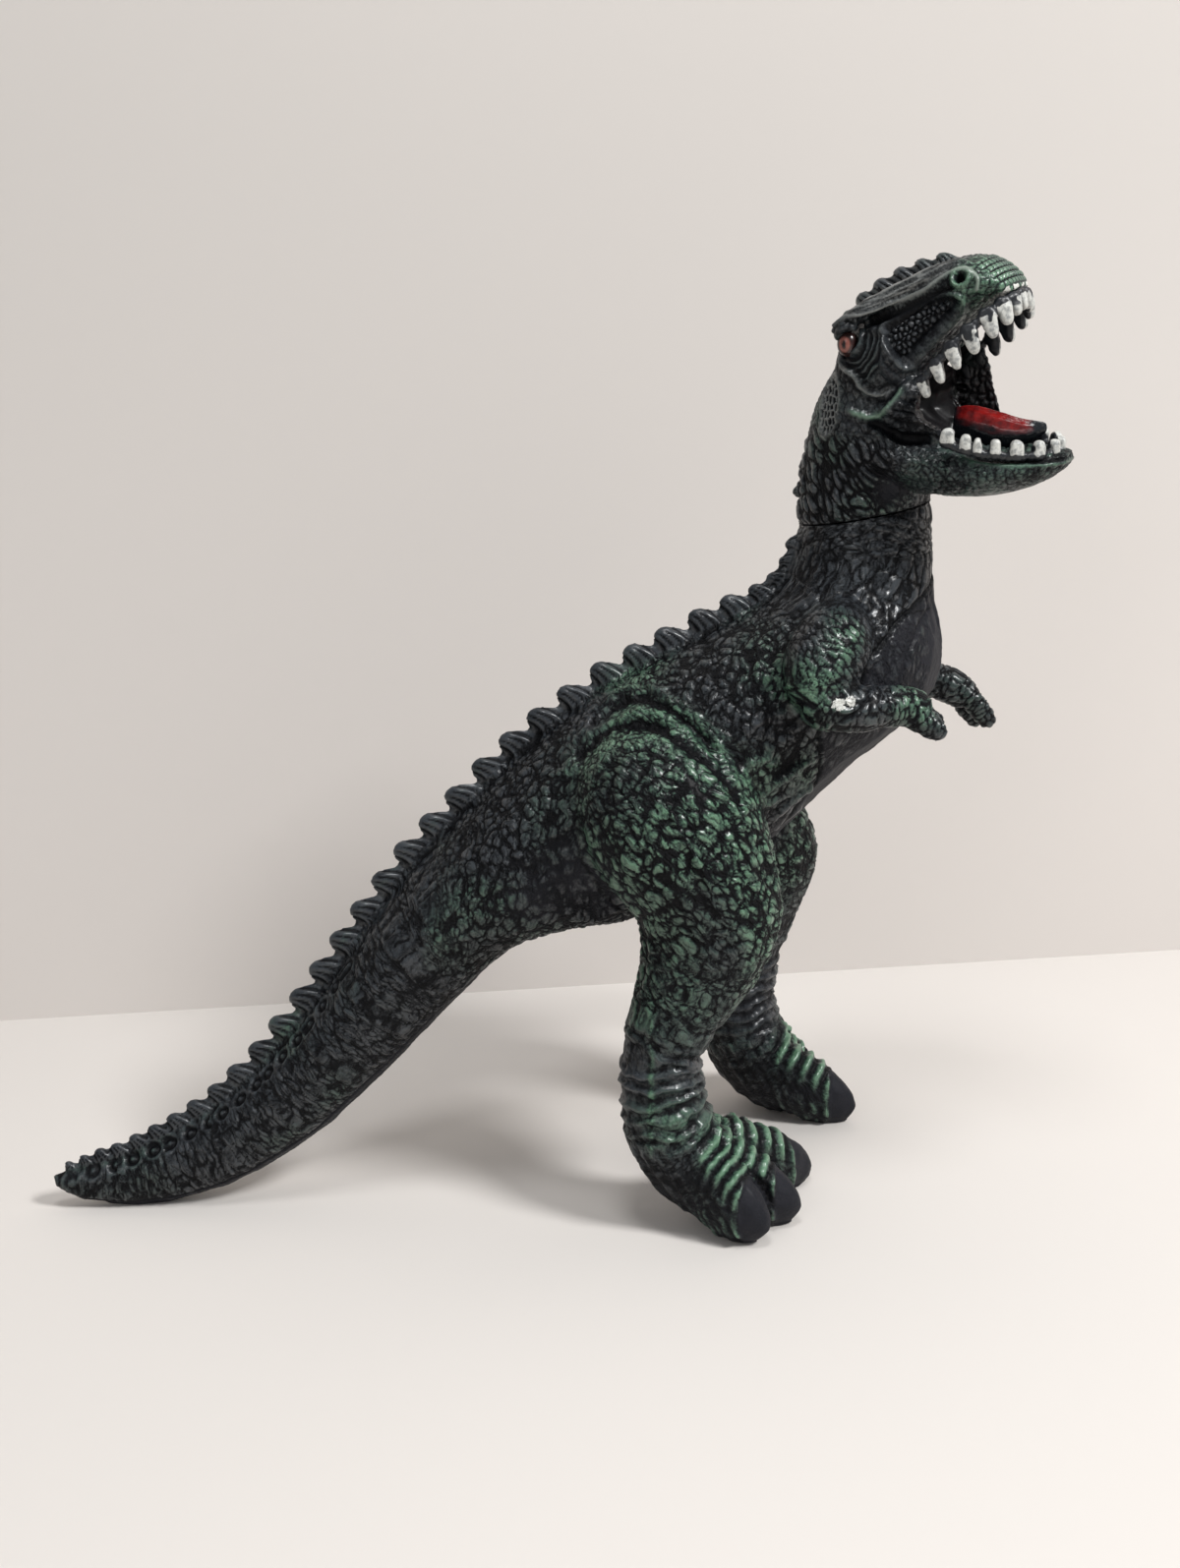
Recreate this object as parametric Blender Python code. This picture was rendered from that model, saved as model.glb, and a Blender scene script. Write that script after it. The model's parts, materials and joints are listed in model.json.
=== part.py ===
"""Toy dinosaur figure: soft vinyl skins over fibre filling, with a plugged head that turns on the neck.

World axes: +X forward, +Y the figure's left, +Z up, metres. The figure stands on Z = 0.
Every outline below is a table of shares: counts of PARTS-ths of FIGURE_HEIGHT, chosen by hand.
"""

import math

import bmesh
import bpy
from mathutils import Matrix, Quaternion, Vector
from mathutils.bvhtree import BVHTree

# Driving dimensions
FIGURE_HEIGHT = 0.300
PARTS = 300
SKIN_WALL = 0.0022
GAP = 0.0003
OVERRUN = 0.004
WELD = 0.000001

# Neck joint
NECK_RADIUS = 0.0213
NECK_LEAN = math.radians(9.5)
HEAD_TURN = math.radians(-36.0)
SOCKET_DEPTH = 0.0065
SOCKET_RADIUS = 0.0191
STEM_RADIUS = 0.0105
STEM_CLEARANCE = 0.0004
FLANGE_RADIUS = 0.0145
FLANGE_DEPTH = 0.0030
FLANGE_ROOM = 0.0009
PLUG_HEAD_DEPTH = 0.0100
PLUG_HEAD_RADIUS = 0.0150

# Dorsal spikes
SPIKE_HEIGHT = 0.0086
SPIKE_PITCH = 0.0117
SPIKE_THICKNESS = 0.0070
SPIKE_SINK = 0.0021

# Raised folds of the skin
FOLD_RADIUS = 0.0032
FOLD_SINK = 0.0014

# Mouth and eyes
UPPER_TOOTH_LENGTH = 0.0064
LOWER_TOOTH_LENGTH = 0.0047
TOOTH_WIDTH = 0.0038
EYE_RADIUS = 0.0032

# Counts
SMOOTH_STEPS = 2
CREST_STEPS = 24
RING_POINTS = 18
SKULL_POINTS = 18
MOUTH_POINTS = 14
CHEEK_POINTS = 8
LIMB_POINTS = 14
ARM_POINTS = 12
TOE_POINTS = 11
FINGER_POINTS = 8
BROW_POINTS = 7
STRIP_POINTS = 6
SPIKE_POINTS = 6
TOOTH_POINTS = 4
FOLD_POINTS = 4
TURNED_POINTS = 24
EYE_SEGMENTS = 8
EYE_RINGS = 6
SOLID_TIP_ROWS = 4
SOFT_EDGE = math.radians(50)
CRISP_EDGE = math.radians(30)

neck_centre_shares = (63.0, 221.5)
tail_seam_shares = (-68.0, 96.0)
tail_seam_slope = math.radians(-38.0)

# Torso and tail: back x, back z, belly x, belly z, half width
body_shares = [
    (39, 206, 84.5, 208, 22.0),
    (34, 198, 86, 193, 26.0),
    (24, 191.5, 88.5, 180, 32.0),
    (10, 185, 86, 165, 36.0),
    (-4, 178, 74, 152, 37.5),
    (-22, 169, 60, 142, 38.0),
    (-40, 157, 47, 130, 38.5),
    (-57, 143, 31, 116, 38.0),
    (-72, 128, 12, 104, 36.0),
    (-85, 115, -11, 93.5, 32.5),
    (-97, 100, -35, 91.5, 28.0),
    (-107, 87, -54, 84, 24.0),
    (-118, 72, -74, 66.5, 20.5),
    (-130, 57, -94, 46.5, 17.5),
    (-143, 43.5, -116, 26, 14.5),
    (-158, 31.5, -142, 9.5, 11.5),
    (-173, 23.5, -163, 2.0, 9.0),
    (-189, 17, -183, -0.6, 6.5),
    (-204, 14, -202, 2.6, 4.2),
    (-211, 12, -210.5, 8.0, 1.8),
]

# Edge of the belly skin in the side view, from the neck down to the crotch
belly_seam_shares = [
    (110, 212), (88, 200), (80, 187), (72, 173), (68, 157), (56.6, 141.3), (42.3, 122.4), (24, 104), (-6, 88),
]
belly_far_shares = [(-6, 40), (140, 40), (140, 212)]

# Folds of the back skin, near its surface: x, place to either side, z
back_folds_shares = [
    [(-17, 5, 173), (-10.5, 12, 173.2), (-5.8, 21, 170), (-2.2, 29, 165.2)],
    [(-29, 15, 162.5), (-22, 14, 167.2), (-15.5, 14, 168.8), (-10, 22, 166.2), (-5.5, 29, 162.9)],
    [(22.5, 16, 187.5), (23, 28.5, 180), (21, 33.5, 172.5), (19.5, 35.5, 166)],
]
# Folds in front of the right thigh alone, as the left leg stands further forward
belly_folds_shares = [
    [(23.5, -34.6, 140.5), (31, -33.7, 144.6), (38.5, -33.1, 149)],
    [(28.8, -26.9, 129.5), (34, -27.2, 134.3), (41, -25.5, 138)],
]
# Folds down the thigh: z, then degrees from the leg's front towards its outside
thigh_folds_shares = [
    [(146, 60), (137, 46), (125, 32), (112, 22), (101, 24)],
    [(150, 100), (138, 92), (125, 86), (112, 84), (101, 86)],
]
# Along a fold: share of its full thickness
fold_swell_share = 0.45

# Right leg, then left: x, y, z, half depth, half width
leg_right_shares = [
    (-7, -26, 161, 9, 8),
    (-8, -29, 154, 20, 17),
    (-7, -31, 144, 27, 22.5),
    (-5, -32, 130, 30, 24.5),
    (0, -33, 115, 28.0, 24),
    (5.5, -34.5, 103, 23.5, 21.5),
    (5.5, -36, 93, 21.5, 19.5),
    (1, -37, 81, 19.2, 17),
    (-5.5, -38, 69, 15.8, 15.0),
    (-10.5, -38.5, 58, 12.6, 13.6),
    (-10.5, -39, 47, 13.4, 13.6),
]
leg_left_shares = [
    (0, 26, 161, 9, 8),
    (1, 29, 154, 20, 17),
    (5, 31, 144, 27, 22.5),
    (13, 32, 130, 31, 24.5),
    (21, 33, 115, 31, 24),
    (29, 34.5, 103, 27, 21.5),
    (31, 36, 93, 24.5, 19.5),
    (30, 37, 81, 21, 17),
    (28.5, 38, 69, 17.0, 15.0),
    (27.5, 38.5, 58, 14.2, 13.6),
    (27.0, 39, 47, 14.0, 13.6),
]
# Feet, from the ankle to the ball: x, y, z, half depth, half width
foot_right_shares = [
    (-10.5, -39, 52, 12.9, 13.2),
    (-10.3, -39, 42, 13.6, 13.8),
    (-8.0, -39.5, 32, 14.8, 14.6),
    (-2.5, -40, 22.5, 14.6, 15.4),
    (5.5, -41, 14.4, 13.2, 15.6),
    (14, -42, 9.0, 10.8, 14.0),
    (20, -42, 6.3, 7.8, 10.0),
]
foot_left_shares = [
    (27.0, 39, 52, 13.9, 13.2),
    (27.2, 39, 42, 14.2, 13.8),
    (29.5, 39.5, 32, 15.0, 14.6),
    (34, 40, 22.5, 14.6, 15.4),
    (40, 41, 14.4, 13.2, 15.6),
    (46, 42, 9.0, 10.8, 14.0),
    (51, 42, 6.3, 7.8, 10.0),
]
# Toes: root x, y and tip x, y
toes_right_shares = [(-2, -46, 18, -60), (0, -41, 31.5, -47), (2, -34, 41.5, -18)]
toes_left_shares = [(34, 46, 47, 61), (35, 41, 60, 48), (34, 34, 67, 24)]
# Along a toe: share of its run, height of its middle, half height, half width
toe_shares = [
    (0.00, 23.0, 10.5, 8.2),
    (0.22, 19.0, 11.4, 8.4),
    (0.45, 13.2, 12.0, 8.4),
    (0.65, 9.8, 11.4, 7.8),
    (0.80, 7.4, 9.4, 6.6),
    (0.92, 5.2, 6.8, 4.6),
    (1.00, 3.4, 3.6, 1.8),
]

# Arms, upper arm then forearm: x, y, z, half height, half width
upper_arm_right_shares = [
    (52, -20, 190, 9, 9), (47, -29, 185, 12.5, 12), (41, -36, 178, 12.5, 12), (38, -40.5, 170.5, 9.5, 9.5),
    (37, -42, 167, 6.0, 6.5),
]
forearm_right_shares = [
    (34, -41.5, 169, 4.5, 5.0), (38, -42, 168, 7.6, 8.0), (45, -42.5, 166.8, 7.9, 8.2),
    (53, -42, 166, 7.0, 7.2), (61, -40, 166, 6.4, 6.6), (68, -38, 165, 6.4, 6.8),
    (72, -37, 163.5, 5.4, 6.2),
]
fingers_right_shares = [(68, -41.5, 163, 78, -42.5, 156.5), (68, -35, 164, 80, -33.5, 157.5)]
upper_arm_left_shares = [
    (52, 20, 188, 9, 9), (50, 29, 183, 12.5, 12), (50, 36, 174, 12.5, 12), (53, 40.5, 166, 9.5, 9.5),
    (54, 42, 162, 6.0, 6.5),
]
forearm_left_shares = [
    (50, 41.5, 163, 4.5, 5.0), (54, 42, 162.5, 7.8, 8.0), (65, 42, 161.5, 8.2, 8.2),
    (79, 40, 161.0, 7.4, 7.2), (92, 37.5, 160.5, 6.8, 6.6), (103, 35.5, 157.5, 6.6, 6.8),
    (109, 34.5, 153, 5.8, 6.2),
]
fingers_left_shares = [(107, 38, 154, 115, 38, 142), (108, 31, 155, 117.5, 31, 143)]
# Along a finger: share of its run, half height and half width
finger_shares = [(0.0, 4.4, 3.8), (0.5, 4.2, 3.6), (0.85, 3.4, 3.0), (1.0, 1.6, 1.6)]

# Head, looking straight ahead: back x, back z, front x, front z, half width
collar_shares = [
    (42.5, 231, 84.5, 232, 21.0),
    (45, 244, 87, 243, 20.5),
    (48.6, 256, 86, 254, 20.0),
    (54.6, 266, 81, 266, 17.5),
    (64, 272, 74, 273, 10.0),
]
# Skull: crown x, crown z, palate x, palate z, half width
skull_shares = [
    (56.5, 268, 60, 254, 13.0),
    (58.5, 276, 67, 249, 18.8),
    (64, 283, 78, 253, 21.6),
    (72, 289, 86, 263, 21.0),
    (81, 294, 93.5, 272.5, 19.4),
    (91, 298, 99.5, 279.5, 17.8),
    (101, 298.8, 105.5, 284.8, 15.8),
    (108, 294.5, 109.6, 287.0, 11.8),
    (111.2, 290.5, 111.6, 288.4, 5.6),
]
# Brow ridges, right side from the back to the nostril: x, z, lateral place, radius
brow_shares = [
    (61, 278, 17.8, 2.2), (64, 280.8, 19.2, 3.0), (70.5, 285.3, 18.0, 3.0), (79.5, 290.0, 15.6, 2.7),
    (88, 294.0, 13.2, 2.6), (95.5, 296.2, 11.0, 2.8), (99.5, 296.0, 10.2, 1.6),
]
# Lower jaw: top x, top z, bottom x, bottom z, half width
jaw_shares = [
    (60, 254, 62, 234, 14.0),
    (70, 254, 72, 231, 20.2),
    (85, 250.5, 85, 228.5, 21.2),
    (96, 247.5, 97, 228.2, 20.6),
    (107, 245, 107, 229, 18.8),
    (116.5, 244, 116.5, 231.5, 15.4),
    (123.5, 243.5, 123, 234.5, 11.0),
    (127.8, 242.5, 127.2, 238, 4.8),
]
# Cheeks behind the corners of the mouth: top x, top z, bottom x, bottom z, half width
cheek_shares = [
    (68, 268, 70, 244, 17.5),
    (79, 270, 81, 242, 21.1),
    (91, 268, 93, 242, 20.9),
]
# Space inside the mouth: top x, top z, bottom x, bottom z, half width
mouth_shares = [
    (76, 259, 78, 249, 8.0),
    (85, 268, 88.5, 244.4, 15.2),
    (92, 274.5, 97, 243.2, 15.4),
    (98.5, 281, 106.5, 241.6, 14.4),
    (103.5, 285.8, 115, 240.4, 11.6),
    (107.6, 290, 122, 241.3, 6.2),
]
# Gape of the jaws in the side view, cut right through from cheek to cheek
gape_shares = [
    (86.5, 256), (89.5, 251.8), (97, 247.7), (108, 244.5), (124, 242.9), (155, 240.4), (155, 312.0),
    (117, 294.0), (110.8, 288.2), (99.8, 279.4), (91.4, 270.2), (87.6, 263.8),
]
# Tooth rows, right half from the back to the middle of the front: x, z, lateral place
upper_row_shares = [
    (88.0, 264.6, 20.0), (93.0, 270.4, 19.6), (97.8, 275.6, 18.6), (102.4, 280.2, 16.8),
    (107.2, 284.6, 13.3), (109.8, 286.8, 8.8), (111.2, 288.0, 3.4),
]
lower_row_shares = [
    (93.4, 248.4, 19.8), (98.0, 246.8, 19.2), (102.8, 245.6, 18.2), (108.4, 244.6, 16.6),
    (113.8, 244.0, 14.0), (118.8, 243.5, 10.4), (122.2, 243.2, 4.3),
]
# Way the teeth point, and the middle of the jaw that they face away from
upper_way_share = (0.35, 0, -1.0)
lower_way_share = (0.05, 0, 1.0)
jaw_middle_share = 0.32
gum_share = 0.32
# Along a tooth: share of its length and half width as a share of its width
tooth_shares = [(-0.10, 0.48), (0.50, 0.48), (1.0, 0.14)]
# Tongue: place of its root, then along, rise, half width and half height
tongue_place_shares = (95.0, 243.8)
tongue_shares = [
    (-3, 6.2, 2.8, 4.6), (3, 5.6, 4.2, 5.6), (10, 3.8, 4.8, 5.6), (17, 3.4, 4.4, 4.2), (22, 4.4, 3.2, 2.6),
    (25, 5.4, 1.4, 1.2),
]
eye_place_shares = (64.8, 275.2, 18.6)

# Up a fin: share of its height, of its length and thickness, and its lean along the back
fin_shares = [(0.0, 1.0, 1.0, 0.0), (0.62, 0.74, 0.74, -0.02), (1.0, 0.26, 0.30, -0.08)]
fin_length_share = 0.92
head_fin_share = 0.68
# Feet of the fins on the crown of the head
head_crest_shares = [(65.8, 284.4), (70.8, 288.0), (76.4, 291.2), (82.0, 293.5), (89.2, 296.2)]


def part(value):
    """A share of the figure's height, in metres."""
    return value / PARTS * FIGURE_HEIGHT


def place(x, y, z):
    return Vector((part(x), part(y), part(z)))


def shares_of(length):
    """A length in metres, in shares of the figure's height."""
    return length / FIGURE_HEIGHT * PARTS


NECK_CENTRE = place(neck_centre_shares[0], 0, neck_centre_shares[1])
NECK_AXIS = Vector((-math.sin(NECK_LEAN), 0, math.cos(NECK_LEAN)))


def clear_scene():
    for item in list(bpy.data.objects):
        bpy.data.objects.remove(item, do_unlink=True)


def finish(name, colour, roughness, metallic=0.0):
    """A plain material of one colour."""
    material = bpy.data.materials.new(name)
    material.use_nodes = True
    shader = material.node_tree.nodes["Principled BSDF"]
    shader.inputs["Base Color"].default_value = (*colour, 1.0)
    shader.inputs["Roughness"].default_value = roughness
    shader.inputs["Metallic"].default_value = metallic
    return material


def add_object(name, mesh_builder):
    mesh = bpy.data.meshes.new(name)
    bmesh.ops.recalc_face_normals(mesh_builder, faces=mesh_builder.faces)
    mesh_builder.to_mesh(mesh)
    mesh_builder.free()
    item = bpy.data.objects.new(name, mesh)
    bpy.context.scene.collection.objects.link(item)
    return item


def smoothed(rows, steps):
    """Rows with smooth rows added between them, steps to a stretch."""
    result = []
    last = len(rows) - 1
    for index in range(last):
        p0 = rows[max(index - 1, 0)]
        p1 = rows[index]
        p2 = rows[index + 1]
        p3 = rows[min(index + 2, last)]
        for step in range(steps):
            t = step / steps
            row = []
            for a, b, c, d in zip(p0, p1, p2, p3):
                slope = (c - a) / 2
                next_slope = (d - b) / 2
                cubic = 2 * b - 2 * c + slope + next_slope
                square = -3 * b + 3 * c - 2 * slope - next_slope
                row.append(((cubic * t + square) * t + slope) * t + b)
            result.append(tuple(row))
    result.append(rows[last])
    return result


def run_past(ring, beside, reach):
    """The ring moved away from the ring beside it."""
    middle = sum(ring, Vector()) / len(ring)
    inside = sum(beside, Vector()) / len(beside)
    way = (middle - inside).normalized() * reach
    return [point + way for point in ring]


def bridged(name, rings, overrun=0.0):
    """A closed body through rings of points, with a flat face on each end."""
    if overrun:
        first = run_past(rings[0], rings[1], overrun)
        last = run_past(rings[-1], rings[-2], overrun)
        rings = [first, *rings, last]
    builder = bmesh.new()
    rows = [[builder.verts.new(point) for point in ring] for ring in rings]
    count = len(rows[0])
    for ring, after in zip(rows, rows[1:]):
        for index in range(count):
            beside = (index + 1) % count
            builder.faces.new((ring[index], ring[beside], after[beside], after[index]))
    builder.faces.new(rows[0])
    builder.faces.new(tuple(reversed(rows[-1])))
    return add_object(name, builder)


def upright_ring(row, inset, count):
    """An oval across the figure, from a back point to a front point."""
    back = place(row[0], 0, row[1])
    front = place(row[2], 0, row[3])
    middle = (back + front) / 2
    reach = (front - back) / 2
    depth = max(reach.length - inset, GAP)
    width = max(part(row[4]) - inset, GAP)
    along = reach.normalized() * depth
    across = Vector((0, width, 0))
    turns = [math.tau * index / count for index in range(count)]
    return [middle + along * math.cos(turn) + across * math.sin(turn) for turn in turns]


def upright_loft(name, rows, inset=0.0, overrun=0.0, count=RING_POINTS):
    return bridged(name, [upright_ring(row, inset, count) for row in rows], overrun)


def path_loft(name, rows, side, inset=0.0, overrun=0.0, count=LIMB_POINTS, level=None):
    """A limb through ovals square to its path, or to level: x, y, z, half depth, half width."""
    centres = [place(*row[:3]) for row in rows]
    rings = []
    for index, row in enumerate(rows):
        before = centres[max(index - 1, 0)]
        after = centres[min(index + 1, len(rows) - 1)]
        heading = level or (after - before).normalized()
        across = (side - heading * side.dot(heading)).normalized()
        depth = heading.cross(across)
        depth_size = max(part(row[3]) - inset, GAP / 2)
        across_size = max(part(row[4]) - inset, GAP / 2)
        ring = []
        for point in range(count):
            turn = math.tau * point / count
            ring.append(
                centres[index] + depth * depth_size * math.cos(turn) + across * across_size * math.sin(turn)
            )
        rings.append(ring)
    return bridged(name, rings, overrun)


def prism(name, points, half_width, shift=Vector()):
    """A slab through the figure with an outline in the side view."""
    builder = bmesh.new()
    outline = [place(x, 0, z) + shift for x, z in points]
    across = Vector((0, half_width, 0))
    near = [builder.verts.new(point - across) for point in outline]
    far = [builder.verts.new(point + across) for point in outline]
    count = len(outline)
    for index in range(count):
        beside = (index + 1) % count
        builder.faces.new((near[index], near[beside], far[beside], far[index]))
    builder.faces.new(near)
    builder.faces.new(tuple(reversed(far)))
    return add_object(name, builder)


def half_space(name, point, normal, size):
    """A large block whose one face is the plane through point, on the side that normal points to."""
    builder = bmesh.new()
    bmesh.ops.create_cube(builder, size=size)
    turn = Vector((0, 0, 1)).rotation_difference(normal).to_matrix().to_4x4()
    matrix = Matrix.Translation(point + normal * size / 2) @ turn
    bmesh.ops.transform(builder, matrix=matrix, verts=builder.verts)
    return add_object(name, builder)


def turned_solid(name, profile, centre, axis, count=TURNED_POINTS):
    """A solid of revolution: (radius, height along the axis) from bottom to top."""
    turn = Vector((0, 0, 1)).rotation_difference(axis).to_matrix().to_4x4()
    matrix = Matrix.Translation(centre) @ turn
    rings = []
    for radius, height in profile:
        ring = []
        for index in range(count):
            angle = math.tau * index / count
            ring.append(matrix @ Vector((radius * math.cos(angle), radius * math.sin(angle), height)))
        rings.append(ring)
    return bridged(name, rings)


def combine(target, tool, operation, keep_tool=False):
    """Applies a Boolean to target with tool."""
    modifier = target.modifiers.new(operation.lower(), "BOOLEAN")
    modifier.operation = operation
    modifier.solver = "EXACT"
    modifier.object = tool
    view = bpy.context.evaluated_depsgraph_get()
    mesh = bpy.data.meshes.new_from_object(target.evaluated_get(view))
    target.modifiers.clear()
    target.data = mesh
    if not keep_tool:
        bpy.data.objects.remove(tool, do_unlink=True)
    return target


def copy_of(item, name):
    twin = bpy.data.objects.new(name, item.data.copy())
    bpy.context.scene.collection.objects.link(twin)
    return twin


def settle(item, material, sharp=SOFT_EDGE):
    """Cleans the mesh, gives it its material and shades it."""
    mesh = item.data
    builder = bmesh.new()
    builder.from_mesh(mesh)
    bmesh.ops.remove_doubles(builder, verts=builder.verts, dist=WELD)
    bmesh.ops.dissolve_degenerate(builder, edges=builder.edges, dist=WELD)
    bmesh.ops.triangulate(builder, faces=builder.faces)
    builder.to_mesh(mesh)
    builder.free()
    mesh.materials.clear()
    mesh.materials.append(material)
    mesh.shade_smooth()
    mesh.set_sharp_from_angle(angle=sharp)
    return item


def neck_row():
    """The round end of the neck, as a station of the body or of the collar."""
    x, z = neck_centre_shares
    radius = shares_of(NECK_RADIUS)
    along = radius * math.cos(NECK_LEAN)
    rise = radius * math.sin(NECK_LEAN)
    return (x - along, z - rise, x + along, z + rise, radius)


# Torso and tail
def body_rows():
    """Stations of the body, with the neck's round end first."""
    return [neck_row()] + body_shares


def body_form(name, inset, overrun=0.0):
    return upright_loft(name, smoothed(body_rows(), SMOOTH_STEPS), inset, overrun)


def body_inner():
    """The space inside the skin, run out through the neck and stopped short of the tail's tip."""
    rows = smoothed(body_rows(), SMOOTH_STEPS)[:-SOLID_TIP_ROWS]
    rings = [upright_ring(row, SKIN_WALL, RING_POINTS) for row in rows]
    return bridged("body inner", [run_past(rings[0], rings[1], OVERRUN), *rings])


def tail_normal():
    return Vector((math.cos(tail_seam_slope), 0, -math.sin(tail_seam_slope)))


def crest_line():
    """Points of the back's outline, with the way up from each."""
    points = []
    rows = smoothed(body_rows(), CREST_STEPS)
    for row, after in zip(rows, rows[1:]):
        here = place(row[0], 0, row[1])
        there = place(after[0], 0, after[1])
        run = there - here
        up = Vector((run.z, 0, -run.x)).normalized()
        points.append((here, up, run.length))
    return points


def spike(name, foot, up, height, length, thickness):
    """One rounded fin standing on the crest."""
    along = Vector((up.z, 0, -up.x))
    across = Vector((0, 1, 0))
    rings = []
    for rise, long_share, wide_share, lean in fin_shares:
        middle = foot + up * (height * rise - SPIKE_SINK) + along * length * lean
        ring = []
        for index in range(SPIKE_POINTS):
            turn = math.tau * (index + 0.5) / SPIKE_POINTS
            ring.append(
                middle
                + along * (length / 2 * long_share * math.cos(turn))
                + across * (thickness / 2 * wide_share * math.sin(turn))
            )
        rings.append(ring)
    return bridged(name, rings)


def spike_size(walked, total):
    """Size of the fin at a place along the back, smaller towards both ends."""
    share = walked / total
    return min(1.0, 0.35 + 5.5 * share, 0.38 + 2.0 * (1 - share))


def body_spikes():
    """Fins from the neck to the tail's end, each a step of its own size after the last."""
    line = crest_line()
    total = sum(item[2] for item in line)
    fins = []
    walked = 0.0
    wanted = SPIKE_PITCH / 2
    for here, up, run in line:
        walked += run
        if walked < wanted or walked > total - SPIKE_PITCH / 4:
            continue
        size = spike_size(walked, total)
        length = SPIKE_PITCH * size * fin_length_share
        fins.append((here, spike("fin", here, up, SPIKE_HEIGHT * size, length, SPIKE_THICKNESS * size)))
        wanted = walked + SPIKE_PITCH * size
    return fins


def joined(items):
    """One object that holds all the bodies of items."""
    builder = bmesh.new()
    for item in items:
        builder.from_mesh(item.data)
        bpy.data.objects.remove(item, do_unlink=True)
    return add_object("joined", builder)


def add_fins(target, fins):
    """Joins a row of fins to target, every other one first, as neighbours may touch."""
    combine(target, joined(fins[::2]), "UNION")
    combine(target, joined(fins[1::2]), "UNION")


def add_fold(target, points):
    """Raises a fold on the surface of target, along the points that lie nearest."""
    builder = bmesh.new()
    builder.from_mesh(target.data)
    tree = BVHTree.FromBMesh(builder)
    builder.free()
    rows = []
    for number, point in enumerate(points):
        spot, normal = tree.find_nearest(point)[:2]
        middle = spot - normal * FOLD_SINK
        swell = math.sin(math.pi * number / (len(points) - 1))
        size = shares_of(FOLD_RADIUS) * (fold_swell_share + (1 - fold_swell_share) * swell)
        rows.append((*(shares_of(length) for length in middle), size, size))
    fold = path_loft("fold", rows, Vector((0, 1, 0)), count=FOLD_POINTS)
    combine(target, fold, "UNION")


def add_back_folds(shell):
    """Folds over the hips, behind the shoulders and in front of the right thigh."""
    for line in back_folds_shares:
        for side in (-1, 1):
            add_fold(shell, [place(x, y * side, z) for x, y, z in smoothed(line, SMOOTH_STEPS)])
    for line in belly_folds_shares:
        add_fold(shell, [place(*spot) for spot in smoothed(line, SMOOTH_STEPS)])


def add_thigh_folds(leg, leg_rows, side):
    """Folds that run down the outside of a thigh."""
    rows = smoothed(leg_rows, SMOOTH_STEPS)
    for line in thigh_folds_shares:
        points = []
        for z, turn in smoothed(line, SMOOTH_STEPS):
            x, y, _z, depth, width = min(rows, key=lambda row: abs(row[2] - z))
            angle = math.radians(turn)
            points.append(place(x + depth * math.cos(angle), y + side * width * math.sin(angle), z))
        add_fold(leg, points)


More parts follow.
